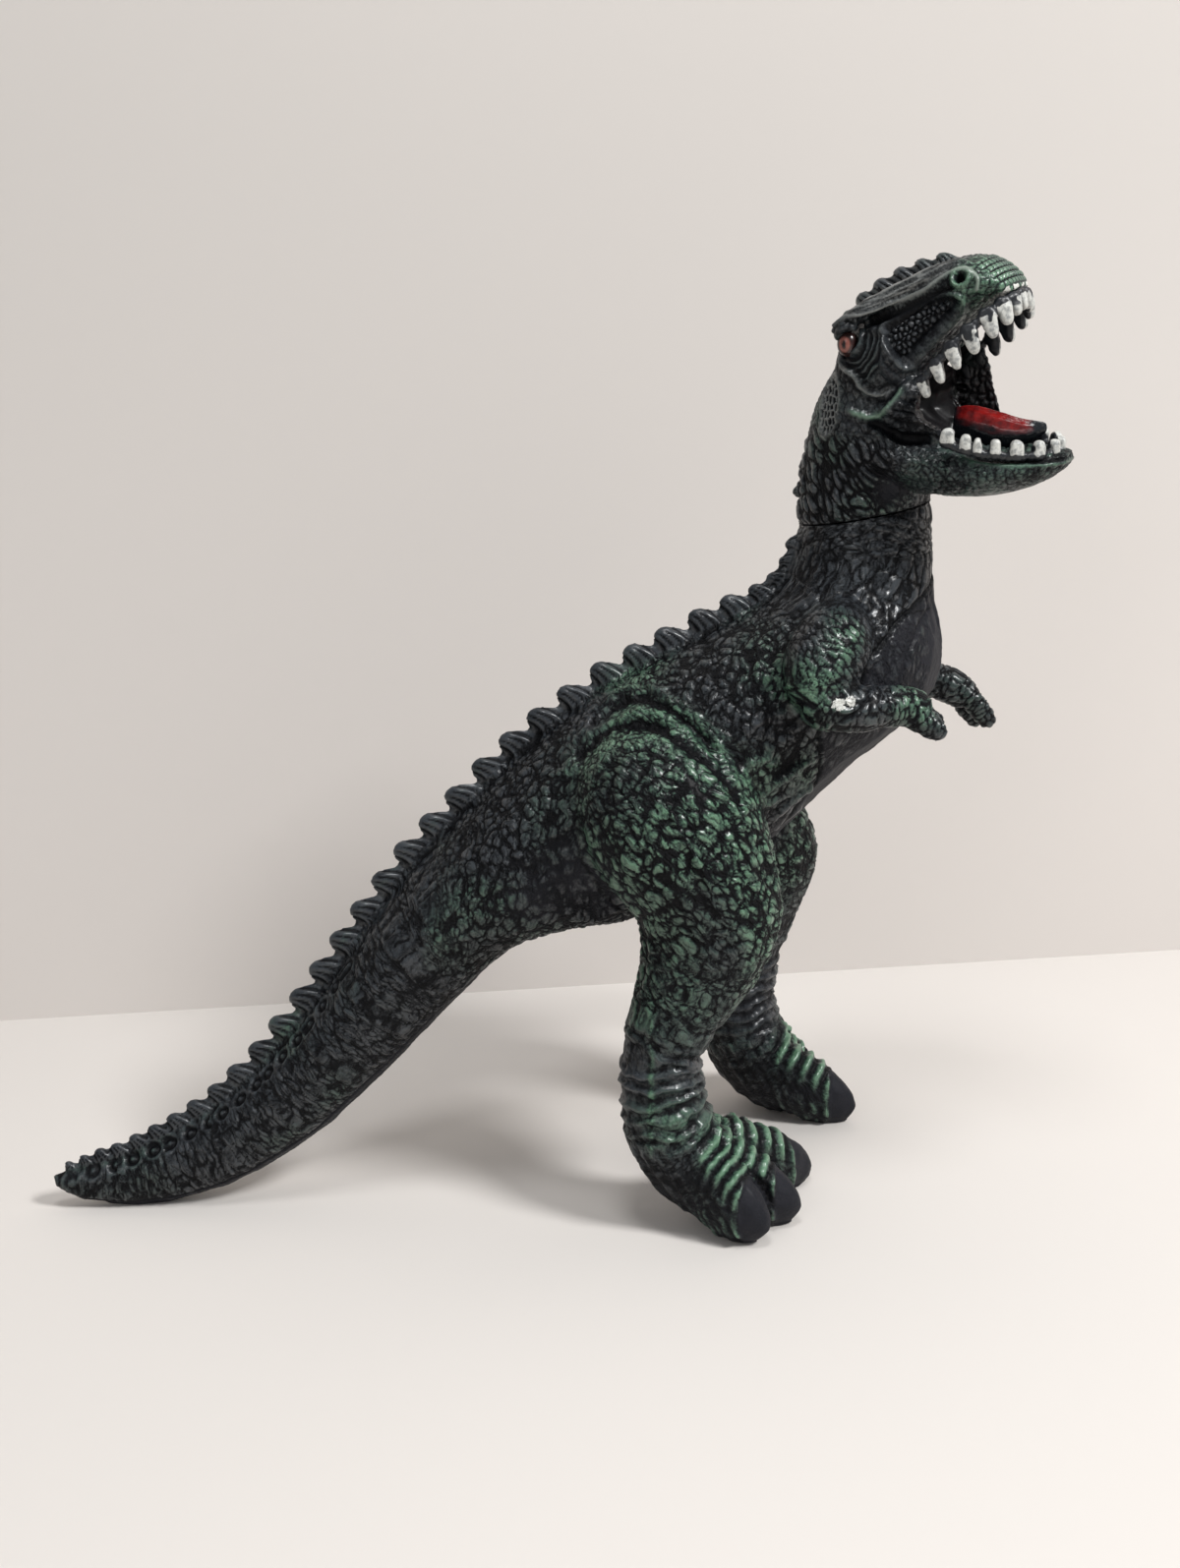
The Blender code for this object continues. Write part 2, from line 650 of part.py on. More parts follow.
def make_body(vinyl, vinyl_plain, fibre, plastic):
    """Torso skins, tail skin, their filling and the neck socket."""
    outer = body_form("body outer", 0.0)
    inner = body_inner()
    seam_point = place(tail_seam_shares[0], 0, tail_seam_shares[1])
    ahead = tail_normal()
    big = FIGURE_HEIGHT * 2

    fins = body_spikes()
    torso_fins = [fin for foot, fin in fins if (foot - seam_point).dot(ahead) > SPIKE_PITCH / 2]
    tail_fins = [fin for foot, fin in fins if (foot - seam_point).dot(ahead) < -SPIKE_PITCH / 2]
    for foot, fin in fins:
        if fin not in torso_fins and fin not in tail_fins:
            bpy.data.objects.remove(fin, do_unlink=True)

    tail = copy_of(outer, "tail_skin")
    add_fins(tail, tail_fins)
    combine(tail, inner, "DIFFERENCE", keep_tool=True)
    combine(tail, half_space("cut", seam_point - ahead * GAP / 2, ahead, big), "DIFFERENCE")
    combine(tail, half_space("floor", Vector(), Vector((0, 0, -1)), big), "DIFFERENCE")
    settle(tail, vinyl)

    shell = copy_of(outer, "shell")
    add_fins(shell, torso_fins)
    add_back_folds(shell)
    combine(shell, half_space("cut", seam_point + ahead * GAP / 2, -ahead, big), "DIFFERENCE")
    combine(shell, inner, "DIFFERENCE", keep_tool=True)
    socket_bore = turned_solid(
        "bore",
        [(SOCKET_RADIUS + GAP, -SOCKET_DEPTH - GAP), (SOCKET_RADIUS + GAP, OVERRUN)],
        NECK_CENTRE,
        NECK_AXIS,
    )
    combine(shell, socket_bore, "DIFFERENCE")

    back = copy_of(shell, "back_skin")
    seam = belly_seam_shares + belly_far_shares
    combine(back, prism("cut", seam, FIGURE_HEIGHT), "DIFFERENCE")
    settle(back, vinyl)
    belly = shell
    belly.name = "belly_skin"
    combine(belly, prism("cut", seam, FIGURE_HEIGHT, Vector((GAP, 0, -GAP))), "INTERSECT")
    settle(belly, vinyl_plain)

    # Fibre filling, in one piece for the torso and one for the tail
    stuffed_rows = smoothed(body_rows(), SMOOTH_STEPS)[: -SOLID_TIP_ROWS - 1]
    filling = upright_loft("torso_filling", stuffed_rows, SKIN_WALL + GAP)
    tail_filling = copy_of(filling, "tail_filling")
    combine(filling, half_space("cut", seam_point + ahead * GAP, -ahead, big), "DIFFERENCE")
    below_socket = NECK_CENTRE - NECK_AXIS * (SOCKET_DEPTH + FLANGE_DEPTH + FLANGE_ROOM)
    combine(filling, half_space("cut", below_socket, NECK_AXIS, FIGURE_HEIGHT / 2), "DIFFERENCE")
    settle(filling, fibre)
    combine(tail_filling, half_space("cut", seam_point - ahead * GAP, ahead, big), "DIFFERENCE")
    settle(tail_filling, fibre)

    # Ring glued into the neck opening, which the head's plug turns in
    socket = turned_solid(
        "neck_socket", [(SOCKET_RADIUS, -SOCKET_DEPTH), (SOCKET_RADIUS, -GAP)], NECK_CENTRE, NECK_AXIS
    )
    bore = turned_solid(
        "bore",
        [(STEM_RADIUS + STEM_CLEARANCE, -SOCKET_DEPTH - OVERRUN), (STEM_RADIUS + STEM_CLEARANCE, OVERRUN)],
        NECK_CENTRE,
        NECK_AXIS,
    )
    combine(socket, bore, "DIFFERENCE")
    settle(socket, plastic, CRISP_EDGE)
    bpy.data.objects.remove(inner, do_unlink=True)
    return outer


def toe(name, start_x, start_y, tip_x, tip_y):
    """One toe with its claw, from inside the foot to its tip."""
    rows = []
    for share, middle, half_height, half_width in toe_shares:
        x = start_x + (tip_x - start_x) * share
        y = start_y + (tip_y - start_y) * share
        rows.append((x, y, middle, half_height, half_width))
    side = Vector((tip_y - start_y, start_x - tip_x, 0)).normalized()
    return path_loft(name, rows, side, count=TOE_POINTS)


def make_leg(side_name, side, leg_rows, foot_rows, toes, torso, vinyl, fibre):
    """Leg skin, its filling and the foot of one side."""
    across = Vector((0, 1, 0))
    rows = smoothed(leg_rows, SMOOTH_STEPS)
    up = Vector((0, 0, 1))
    leg = path_loft("leg_skin_" + side_name, rows, across, level=up)
    add_thigh_folds(leg, leg_rows, side)
    combine(leg, torso, "DIFFERENCE", keep_tool=True)
    combine(leg, path_loft("inner", rows, across, SKIN_WALL, OVERRUN, level=up), "DIFFERENCE")
    big = FIGURE_HEIGHT
    ankle = place(leg_rows[-1][0], leg_rows[-1][1], leg_rows[-1][2])
    combine(leg, half_space("cut", ankle + up * GAP, -up, big), "DIFFERENCE")
    settle(leg, vinyl)

    filling = path_loft("leg_filling_" + side_name, rows, across, SKIN_WALL + GAP, level=up)
    combine(filling, torso, "DIFFERENCE", keep_tool=True)
    combine(filling, half_space("cut", ankle + up * GAP, -up, big), "DIFFERENCE")
    settle(filling, fibre)

    foot = path_loft("foot_" + side_name, smoothed(foot_rows, SMOOTH_STEPS), across)
    for line in toes:
        combine(foot, toe("toe", *line), "UNION")
    combine(foot, half_space("cut", Vector(), -up, big), "DIFFERENCE")
    combine(foot, half_space("cut", ankle, up, big), "DIFFERENCE")
    settle(foot, vinyl)


def finger(name, x, y, z, tip_x, tip_y, tip_z):
    start = (x, y, z)
    tip = (tip_x, tip_y, tip_z)
    rows = []
    for share, half_height, half_width in finger_shares:
        middle = [a + (b - a) * share for a, b in zip(start, tip)]
        rows.append((*middle, half_height, half_width))
    return path_loft(name, rows, Vector((0, 1, 0)), count=FINGER_POINTS)


def make_arm(side_name, upper_rows, fore_rows, fingers, torso, vinyl):
    """One arm: upper arm, forearm and two fingers, moulded in one."""
    across = Vector((0, 1, 0))
    arm = path_loft("arm_" + side_name, smoothed(upper_rows, SMOOTH_STEPS), across, count=ARM_POINTS)
    combine(arm, path_loft("forearm", smoothed(fore_rows, SMOOTH_STEPS), across, count=ARM_POINTS), "UNION")
    for line in fingers:
        combine(arm, finger("finger", *line), "UNION")
    combine(arm, torso, "DIFFERENCE", keep_tool=True)
    settle(arm, vinyl)


def tooth_row(name, half_row, point_way, length, grow=0.0):
    """A strip of teeth along the lip, with one tooth at each place of both halves."""
    places = [(x, -y, z) for x, z, y in half_row] + [(x, y, z) for x, z, y in reversed(half_row)]
    way = Vector(point_way).normalized()
    strip_rows = [(*spot, 0, 0) for spot in places]
    strip = path_loft(name, strip_rows, way, -(TOOTH_WIDTH * gum_share + grow), grow, STRIP_POINTS)
    for x, y, z in places:
        root = place(x, y, z)
        out = (root - Vector((jaw_middle_share * FIGURE_HEIGHT, 0, root.z))).normalized()
        beside = way.cross(out).normalized()
        rings = []
        for rise, wide in tooth_shares:
            middle = root + way * (length * rise + (grow if rise > 0 else -grow))
            size = TOOTH_WIDTH * wide + grow
            ring = []
            for index in range(TOOTH_POINTS):
                turn = math.tau * (index + 0.5) / TOOTH_POINTS
                ring.append(middle + beside * size * math.cos(turn) + out * size * math.sin(turn))
            rings.append(ring)
        combine(strip, bridged("tooth", rings), "UNION")
    return strip


def eye(name, side, grow=0.0):
    x, z, y = eye_place_shares
    builder = bmesh.new()
    bmesh.ops.create_uvsphere(
        builder, u_segments=EYE_SEGMENTS, v_segments=EYE_RINGS, radius=EYE_RADIUS + grow
    )
    bmesh.ops.translate(builder, verts=builder.verts, vec=place(x, y * side, z))
    return add_object(name, builder)


def tongue_form(name, grow=0.0):
    """A tongue that lies along the middle of the lower jaw and lifts at its back."""
    x, z = tongue_place_shares
    rows = []
    for along, rise, wide, tall in tongue_shares:
        rows.append((x + along, 0, z + rise, tall, wide))
    return path_loft(name, smoothed(rows, SMOOTH_STEPS), Vector((0, 1, 0)), -grow, grow, TOE_POINTS)


def make_head(vinyl, tooth_paint, tongue_paint, eye_paint, plastic):
    """Head with its collar and jaws, teeth, tongue, eyes and neck plug."""
    lift = NECK_AXIS * GAP
    collar_rows = [neck_row()] + collar_shares
    head = upright_loft("head_skin", smoothed(collar_rows, SMOOTH_STEPS))
    head.data.transform(Matrix.Translation(lift))
    combine(head, upright_loft("skull", smoothed(skull_shares, SMOOTH_STEPS), count=SKULL_POINTS), "UNION")
    combine(head, upright_loft("jaw", smoothed(jaw_shares, SMOOTH_STEPS), count=SKULL_POINTS), "UNION")
    for side in (-1, 1):
        brow_rows = [(x, y * side, z, size, size) for x, z, y, size in brow_shares]
        combine(head, path_loft("brow", brow_rows, Vector((0, 1, 0)), count=BROW_POINTS), "UNION")
    combine(head, upright_loft("cheeks", cheek_shares, count=CHEEK_POINTS), "UNION")
    mouth_rows = smoothed(mouth_shares, SMOOTH_STEPS)
    combine(head, upright_loft("mouth", mouth_rows, count=MOUTH_POINTS), "DIFFERENCE")
    combine(head, prism("gape", gape_shares, FIGURE_HEIGHT), "DIFFERENCE")

    fins = []
    for number, (x, z) in enumerate(head_crest_shares):
        after = head_crest_shares[min(number + 1, len(head_crest_shares) - 1)]
        before = head_crest_shares[max(number - 1, 0)]
        run = place(after[0], 0, after[1]) - place(before[0], 0, before[1])
        up = Vector((-run.z, 0, run.x)).normalized()
        height = SPIKE_HEIGHT * head_fin_share
        length = SPIKE_PITCH * head_fin_share * fin_length_share
        fins.append(spike("fin", place(x, 0, z), up, height, length, SPIKE_THICKNESS * head_fin_share))
    add_fins(head, fins)

    plug_room = turned_solid(
        "room",
        [(PLUG_HEAD_RADIUS + GAP, -OVERRUN), (PLUG_HEAD_RADIUS + GAP, PLUG_HEAD_DEPTH + GAP)],
        NECK_CENTRE + lift,
        NECK_AXIS,
    )
    combine(head, plug_room, "DIFFERENCE")

    inlays = []
    for name, form, settings in (
        ("upper_teeth", tooth_row, (upper_row_shares, upper_way_share, UPPER_TOOTH_LENGTH)),
        ("lower_teeth", tooth_row, (lower_row_shares, lower_way_share, LOWER_TOOTH_LENGTH)),
        ("tongue", tongue_form, ()),
        ("eye_right", eye, (-1,)),
        ("eye_left", eye, (1,)),
    ):
        combine(head, form("seat", *settings, grow=GAP), "DIFFERENCE")
        inlays.append(form(name, *settings))
    upper, lower, tongue, *eyes = inlays

    plug = turned_solid(
        "neck_plug",
        [
            (FLANGE_RADIUS, -SOCKET_DEPTH - FLANGE_DEPTH - GAP),
            (FLANGE_RADIUS, -SOCKET_DEPTH - GAP),
            (STEM_RADIUS, -SOCKET_DEPTH - GAP),
            (STEM_RADIUS, GAP),
            (PLUG_HEAD_RADIUS, GAP),
            (PLUG_HEAD_RADIUS, PLUG_HEAD_DEPTH),
        ],
        NECK_CENTRE,
        NECK_AXIS,
    )

    settle(head, vinyl)
    settle(upper, tooth_paint)
    settle(lower, tooth_paint)
    settle(tongue, tongue_paint)
    for ball in eyes:
        settle(ball, eye_paint)
    settle(plug, plastic, CRISP_EDGE)
    return [head, upper, lower, tongue, plug] + eyes


def turn_head(pieces):
    """Hangs the head's pieces on an empty on the neck axis and turns it."""
    axis = bpy.data.objects.new("head_turn_axis", None)
    bpy.context.scene.collection.objects.link(axis)
    axis.location = NECK_CENTRE
    axis.rotation_mode = "QUATERNION"
    axis.rotation_quaternion = Quaternion(NECK_AXIS, HEAD_TURN)
    for piece in pieces:
        piece.data.transform(Matrix.Translation(-NECK_CENTRE))
        piece.parent = axis


def stand_on_origin():
    """Moves the whole figure so that the middle of its box stands on the origin."""
    bpy.context.view_layer.update()
    points = []
    for item in bpy.data.objects:
        if item.type == "MESH":
            points += [item.matrix_world @ vertex.co for vertex in item.data.vertices]
    low = Vector([min(point[axis] for point in points) for axis in range(3)])
    high = Vector([max(point[axis] for point in points) for axis in range(3)])
    middle = (low + high) / 2
    for item in bpy.data.objects:
        if item.parent is None:
            item.location -= Vector((middle.x, middle.y, low.z))


def main():
    clear_scene()
    vinyl = finish("dark green vinyl", (0.020, 0.045, 0.032), 0.45)
    plain = finish("plain dark vinyl", (0.030, 0.030, 0.036), 0.40)
    fibre = finish("fibre filling", (0.80, 0.79, 0.76), 0.95)
    plastic = finish("neck plastic", (0.10, 0.10, 0.11), 0.40)
    tooth_paint = finish("tooth paint", (0.80, 0.78, 0.72), 0.35)
    tongue_paint = finish("tongue paint", (0.45, 0.015, 0.02), 0.20)
    eye_paint = finish("eye paint", (0.45, 0.16, 0.11), 0.25)

    torso = make_body(vinyl, plain, fibre, plastic)
    keep_off = body_form("keep off", -GAP)
    bpy.data.objects.remove(torso, do_unlink=True)
    make_leg("right", -1, leg_right_shares, foot_right_shares, toes_right_shares, keep_off, vinyl, fibre)
    make_leg("left", 1, leg_left_shares, foot_left_shares, toes_left_shares, keep_off, vinyl, fibre)
    make_arm("right", upper_arm_right_shares, forearm_right_shares, fingers_right_shares, keep_off, vinyl)
    make_arm("left", upper_arm_left_shares, forearm_left_shares, fingers_left_shares, keep_off, vinyl)
    bpy.data.objects.remove(keep_off, do_unlink=True)
    turn_head(make_head(vinyl, tooth_paint, tongue_paint, eye_paint, plastic))
    stand_on_origin()


main()
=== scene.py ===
"""Toy dinosaur figure: a textured soft vinyl hide, a gaping head and its paint, on a pale studio floor."""

import json
import math

import bmesh
import bpy
import numpy as np
from bpy.props import FloatProperty, FloatVectorProperty, PointerProperty
from mathutils import Matrix, Quaternion, Vector
from mathutils.bvhtree import BVHTree


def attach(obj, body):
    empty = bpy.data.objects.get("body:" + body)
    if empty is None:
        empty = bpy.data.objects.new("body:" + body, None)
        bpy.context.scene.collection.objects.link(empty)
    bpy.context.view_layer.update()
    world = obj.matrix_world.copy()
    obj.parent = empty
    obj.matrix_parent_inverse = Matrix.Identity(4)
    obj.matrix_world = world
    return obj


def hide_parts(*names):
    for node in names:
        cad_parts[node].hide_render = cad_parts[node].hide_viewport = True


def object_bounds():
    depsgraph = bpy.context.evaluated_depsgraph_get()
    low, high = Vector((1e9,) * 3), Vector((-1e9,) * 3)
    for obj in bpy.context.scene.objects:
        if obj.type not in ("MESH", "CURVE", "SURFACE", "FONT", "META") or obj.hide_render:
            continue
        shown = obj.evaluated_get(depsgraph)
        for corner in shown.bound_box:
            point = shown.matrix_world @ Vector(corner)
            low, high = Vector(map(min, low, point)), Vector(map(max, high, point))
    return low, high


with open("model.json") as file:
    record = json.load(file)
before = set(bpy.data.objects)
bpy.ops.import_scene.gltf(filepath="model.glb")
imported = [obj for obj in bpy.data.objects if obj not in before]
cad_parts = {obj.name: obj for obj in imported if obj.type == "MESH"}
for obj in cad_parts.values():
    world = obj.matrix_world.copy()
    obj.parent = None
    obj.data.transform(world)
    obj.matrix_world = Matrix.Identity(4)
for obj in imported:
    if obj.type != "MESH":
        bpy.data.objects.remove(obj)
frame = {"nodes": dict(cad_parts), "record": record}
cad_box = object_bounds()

bl_info = {
    "name": "Toy dinosaur figure",
    "version": (1, 0, 0),
    "blender": (4, 5, 0),
    "location": "3D View > Sidebar > Dinosaur",
    "description": "Builds the vinyl hide, head, teeth and eyes of a toy dinosaur figure",
    "category": "Object",
}

MM = 0.001

# The figure's own measure: millimetres from under the hips, with the neck ring's middle here
NECK_PLACE = np.array((63.0, 0.0, 221.5))
neck_joint = frame["record"]["behaviour"]["joints"][0]
SHIFT = np.array(neck_joint["pos_m"]) - NECK_PLACE * MM
NECK_AXIS = Vector(neck_joint["axis"])
HEAD_TURN = math.radians(-36.0)
TURNED = np.array(Quaternion(NECK_AXIS, HEAD_TURN).to_matrix())
TURNED_BACK = np.array(Quaternion(NECK_AXIS, -HEAD_TURN).to_matrix())

# The CAD model's box in the figure's own measure
BOX = [(np.array(corner) - SHIFT) / MM for corner in cad_box]

BODY_NODES = [
    "back_skin", "belly_skin", "tail_skin", "leg_skin_left", "leg_skin_right", "foot_left", "foot_right",
    "arm_left", "arm_right", "torso_filling", "tail_filling", "leg_filling_left", "leg_filling_right",
]
# How far the nodes swell before they are grown together, and how near points are merged, in metres
SWELL = 0.00028
WELD = 0.000001
TOOTH_GRAIN = 0.28
TONGUE_GRAIN = 0.4

# Middle line of neck, torso and tail: x, z, half depth, half width
SPINE = [
    (63, 221.5, 21.3, 21.3), (61.8, 207, 22.8, 22), (60, 195.5, 26.1, 26), (56.3, 185.8, 32.8, 32),
    (48, 175, 39.3, 36), (35, 165, 41.1, 37.5), (19, 155.5, 43.2, 38), (3.5, 143.5, 45.5, 38.5),
    (-13, 129.5, 46, 38), (-30, 116, 43.7, 36), (-48, 104.3, 38.5, 32.5), (-66, 95.8, 31.3, 28),
    (-80.5, 85.5, 26.5, 24), (-96, 69.3, 22.2, 20.5), (-112, 51.8, 18.8, 17.5), (-129.5, 34.8, 16.1, 14.5),
    (-150, 20.5, 13.6, 11.5), (-168, 12.8, 11.8, 9), (-186, 8.2, 9.3, 6.5), (-203, 8.3, 5.8, 4.2),
    (-211, 10, 2, 1.8),
]
SPINE_ROWS = [(x, 0, z, depth, width) for x, z, depth, width in SPINE]
# Leg and foot of one side: x, y, z, half depth, half width
LEG_RIGHT = [
    (-7, -26, 161, 9, 8), (-8, -29, 154, 20, 17), (-7, -31, 144, 27, 22.5), (-5, -32, 130, 30, 24.5),
    (0, -33, 115, 28, 24), (5.5, -34.5, 103, 23.5, 21.5), (5.5, -36, 93, 21.5, 19.5), (1, -37, 81, 19.2, 17),
    (-5.5, -38, 69, 15.8, 15), (-10.5, -38.5, 58, 12.6, 13.6), (-10.5, -39, 47, 13.4, 13.6),
    (-8, -39.5, 32, 14.8, 14.6), (-2.5, -40, 22.5, 14.6, 15.4), (5.5, -41, 14.4, 13.2, 15.6),
    (20, -42, 6.3, 7.8, 10),
]
LEG_LEFT = [
    (0, 26, 161, 9, 8), (1, 29, 154, 20, 17), (5, 31, 144, 27, 22.5), (13, 32, 130, 31, 24.5),
    (21, 33, 115, 31, 24), (29, 34.5, 103, 27, 21.5), (31, 36, 93, 24.5, 19.5), (30, 37, 81, 21, 17),
    (28.5, 38, 69, 17, 15), (27.5, 38.5, 58, 14.2, 13.6), (27, 39, 47, 14, 13.6),
    (29.5, 39.5, 32, 15, 14.6), (34, 40, 22.5, 14.6, 15.4), (40, 41, 14.4, 13.2, 15.6),
    (51, 42, 6.3, 7.8, 10),
]
ARM_RIGHT = [
    (52, -20, 190, 9, 9), (47, -29, 185, 12.5, 12), (41, -36, 178, 12.5, 12), (38, -41, 169, 8.5, 9),
    (45, -42.5, 166.8, 7.9, 8.2), (53, -42, 166, 7, 7.2), (61, -40, 166, 6.4, 6.6), (68, -38, 165, 6.4, 6.8),
    (79, -38, 157, 4, 5),
]
ARM_LEFT = [
    (52, 20, 188, 9, 9), (50, 29, 183, 12.5, 12), (50, 36, 174, 12.5, 12), (54, 42, 163, 8.5, 9),
    (65, 42, 161.5, 8.2, 8.2), (79, 40, 161, 7.4, 7.2), (92, 37.5, 160.5, 6.8, 6.6),
    (103, 35.5, 157.5, 6.6, 6.8), (116, 34.5, 143, 4, 5),
]
# Toes: root x, y and tip x, y
TOES = [
    (-2, -46, 18, -60), (0, -41, 31.5, -47), (2, -34, 41.5, -18),
    (34, 46, 47, 61), (35, 41, 60, 48), (34, 34, 67, 24),
]

# Fins of the back: foot x and z, way up x and z, size
FINS = [
    (40.8, 212.5, -0.98, 0.22, 0.45), (39.3, 206.9, -0.94, 0.33, 0.54), (36.5, 201.0, -0.83, 0.56, 0.65),
    (31.2, 195.7, -0.57, 0.82, 0.77), (23.0, 191.0, -0.45, 0.89, 0.93), (13.0, 186.4, -0.41, 0.91, 1.0),
    (2.1, 181.1, -0.45, 0.89, 1.0), (-8.2, 176.0, -0.43, 0.9, 1.0), (-19.0, 170.7, -0.47, 0.88, 1.0),
    (-29.6, 164.3, -0.55, 0.83, 1.0), (-39.3, 157.5, -0.59, 0.8, 1.0), (-48.7, 150.2, -0.64, 0.77, 1.0),
    (-57.7, 142.4, -0.68, 0.73, 1.0), (-66.6, 133.5, -0.72, 0.7, 1.0), (-75.4, 124.7, -0.69, 0.72, 1.0),
    (-84.0, 116.1, -0.74, 0.68, 1.0), (-91.7, 106.9, -0.79, 0.61, 1.0), (-99.2, 97.2, -0.79, 0.61, 1.0),
    (-106.6, 87.6, -0.8, 0.6, 1.0), (-113.8, 77.7, -0.81, 0.59, 1.0), (-120.9, 68.2, -0.79, 0.61, 1.0),
    (-128.4, 58.8, -0.76, 0.65, 0.98), (-136.3, 50.1, -0.72, 0.69, 0.95), (-144.2, 42.4, -0.67, 0.75, 0.92),
    (-151.6, 36.1, -0.62, 0.79, 0.88), (-159.2, 30.7, -0.53, 0.85, 0.84), (-166.7, 26.5, -0.45, 0.9, 0.8),
    (-173.6, 23.2, -0.42, 0.91, 0.76), (-180.3, 20.2, -0.39, 0.92, 0.72), (-187.0, 17.6, -0.32, 0.95, 0.68),
    (-193.0, 16.0, -0.2, 0.98, 0.62), (-199.0, 14.9, -0.16, 0.99, 0.52), (-204.5, 13.9, -0.23, 0.97, 0.4),
]
# Fins of the crown, when the head looks straight ahead
CROWN_FINS = [
    (61.0, 279.8, -0.6, 0.8, 0.7), (66.0, 284.2, -0.5, 0.87, 0.78), (71.6, 288.0, -0.5, 0.87, 0.8),
    (77.4, 291.2, -0.45, 0.89, 0.76), (83.4, 293.6, -0.4, 0.92, 0.7),
    (89.4, 295.8, -0.4, 0.92, 0.6), (42.0, 227.5, -0.98, 0.2, 0.45), (44.0, 235.5, -0.97, 0.24, 0.42),
]
# Outline of a fin, from its foot on the tail's side over its tip to the foot on the head's side, in shares
FIN_OUTLINE = [
    (-0.50, -0.35), (-0.52, 0.10), (-0.53, 0.42), (-0.48, 0.72), (-0.36, 0.93), (-0.20, 1.0), (-0.02, 0.94),
    (0.16, 0.76), (0.33, 0.50), (0.46, 0.26), (0.54, 0.06), (0.52, -0.35),
]
FIN_LENGTH = 12.2
FIN_HEIGHT = 8.0
FIN_THICKNESS = 2.7

# Lines on the figure's side, in its x and z
BELLY_SEAM = [
    (84, 203), (80.5, 198), (67, 190), (60, 183), (54.5, 177), (51.5, 169), (41, 160), (42.7, 141), (34, 128),
    (26, 117),
]
HIP_FOLDS = [
    [(-27, 161), (-14, 168.5), (-4, 165.5), (5, 157.5), (10, 149)],
    [(-33, 152), (-22, 160), (-10, 161.5), (0, 156), (9, 147), (14, 140)],
]
BELLY_FOLDS = [
    [(14.5, 146.5), (18, 149.2), (22.6, 150.8), (27.3, 148.7)], [(22, 138.5), (30.7, 143.6), (38, 148.5)],
    [(24.5, 134.5), (33.1, 138), (40, 142.5)], [(27.5, 128), (33.6, 134.3), (41, 138.5)],
    [(29.5, 123), (34.5, 128), (39, 131)],
]
CHEST_FOLDS = [
    [(78.5, 198), (80.6, 191), (82.2, 184)], [(81.5, 197), (84, 191.5), (85.6, 185)],
    [(70.5, 181.5), (75, 187.5), (81, 193)],
]
# Round spots on the figure's side: x, z, size and strength
SMOOTH_SPOTS = [(-35, 117, 11, 0.75), (-47, 108, 10, 0.6), (-25, 106, 9, 0.55)]
GREEN_SPOTS = [
    (47, 190, 8, 0.85), (33, 172, 9, 0.45), (66, 167, 10, 0.6), (76.6, 187, 4, 0.6), (77, 179.5, 6, 0.55),
    (-14, 168, 13, 0.45), (3, 152, 11, 0.6), (12, 139, 12, 0.65), (18, 122, 10, 0.5), (19, 110, 8, 0.75),
    (21, 150, 9, 0.45), (34, 148, 7, 0.3), (-30, 152, 12, 0.2), (42, 104, 9, 0.35),
]
GREEN_NECK_SPOTS = [(68, 212, 9, 1.0)]
SCUFF_SPOTS = [(43.0, 169.4, 2.3, 1.0), (46.9, 170.0, 1.9, 0.95)]
# Lines on the head's side when it looks straight ahead, in its x and z
BROW = [
    (61.0, 280.6), (64.9, 283.0), (69.6, 283.6), (74.4, 284.9), (79.0, 286.8), (87.2, 290.0), (92.2, 293.4),
    (96.2, 295.3), (100.2, 295.0), (103.0, 292.9), (102.9, 289.9),
]
UNDER_BROW = [(70.5, 281.4), (76.0, 283.0), (81.5, 285.2), (87.7, 287.9), (93.1, 290.4), (96.4, 291.2)]
NOSTRIL = (98.1, 293.3)
CHEEK_HOLLOW = [
    (75.6, 277.8), (75.9, 281.0), (79.6, 283.9), (85.1, 286.6), (91.8, 288.8), (96.8, 288.6), (98.8, 286.6),
    (98.0, 283.5), (95.9, 280.8), (93.2, 278.2), (90.0, 275.1), (87.0, 271.9), (84.7, 268.8), (82.2, 267.9),
    (79.4, 271.3), (76.9, 275.2),
]
HIND_RIDGE = [(72.6, 281.6), (73.2, 277.0), (74.6, 272.4), (77.2, 268.0), (80.2, 264.4), (83.2, 262.0)]
EYE = (65.8, 276.4)
EYE_SACK = [
    (60.9, 271.6), (62.3, 268.6), (67.0, 266.2), (69.4, 263.0), (71.9, 260.8), (75.6, 260.3), (78.3, 261.6),
]
CHEEK_RIDGE = [
    (65.6, 255.6), (68.6, 254.7), (72.0, 253.8), (75.6, 254.8), (78.3, 257.0), (80.3, 259.4), (81.9, 262.0),
]
CHEEK_FOLDS = [
    [(71.5, 252.9), (74.7, 251.2), (80.3, 248.0), (86.0, 247.2), (90.5, 247.6)],
    [(76.4, 253.2), (80.6, 252.2), (85.6, 251.0), (89.5, 250.6)],
    [(79.2, 256.2), (82.8, 255.6), (86.8, 254.4), (89.6, 253.6)],
    [(82.2, 259.2), (84.8, 259.0), (87.6, 258.2), (89.8, 257.4)],
]
LOWER_LIP = [
    (90.5, 248.9), (93.2, 247.2), (97.5, 245.2), (101.4, 243.7), (106.0, 242.4), (112.9, 241.6),
    (120.4, 241.4), (127.0, 241.0),
]
UPPER_LIP = [
    (88.8, 264.4), (90.7, 267.2), (94.0, 271.5), (98.6, 276.7), (102.9, 281.3), (105.9, 284.8),
    (108.4, 287.8), (111.0, 289.9),
]
NECK_PATCH = (58.2, 256.8)
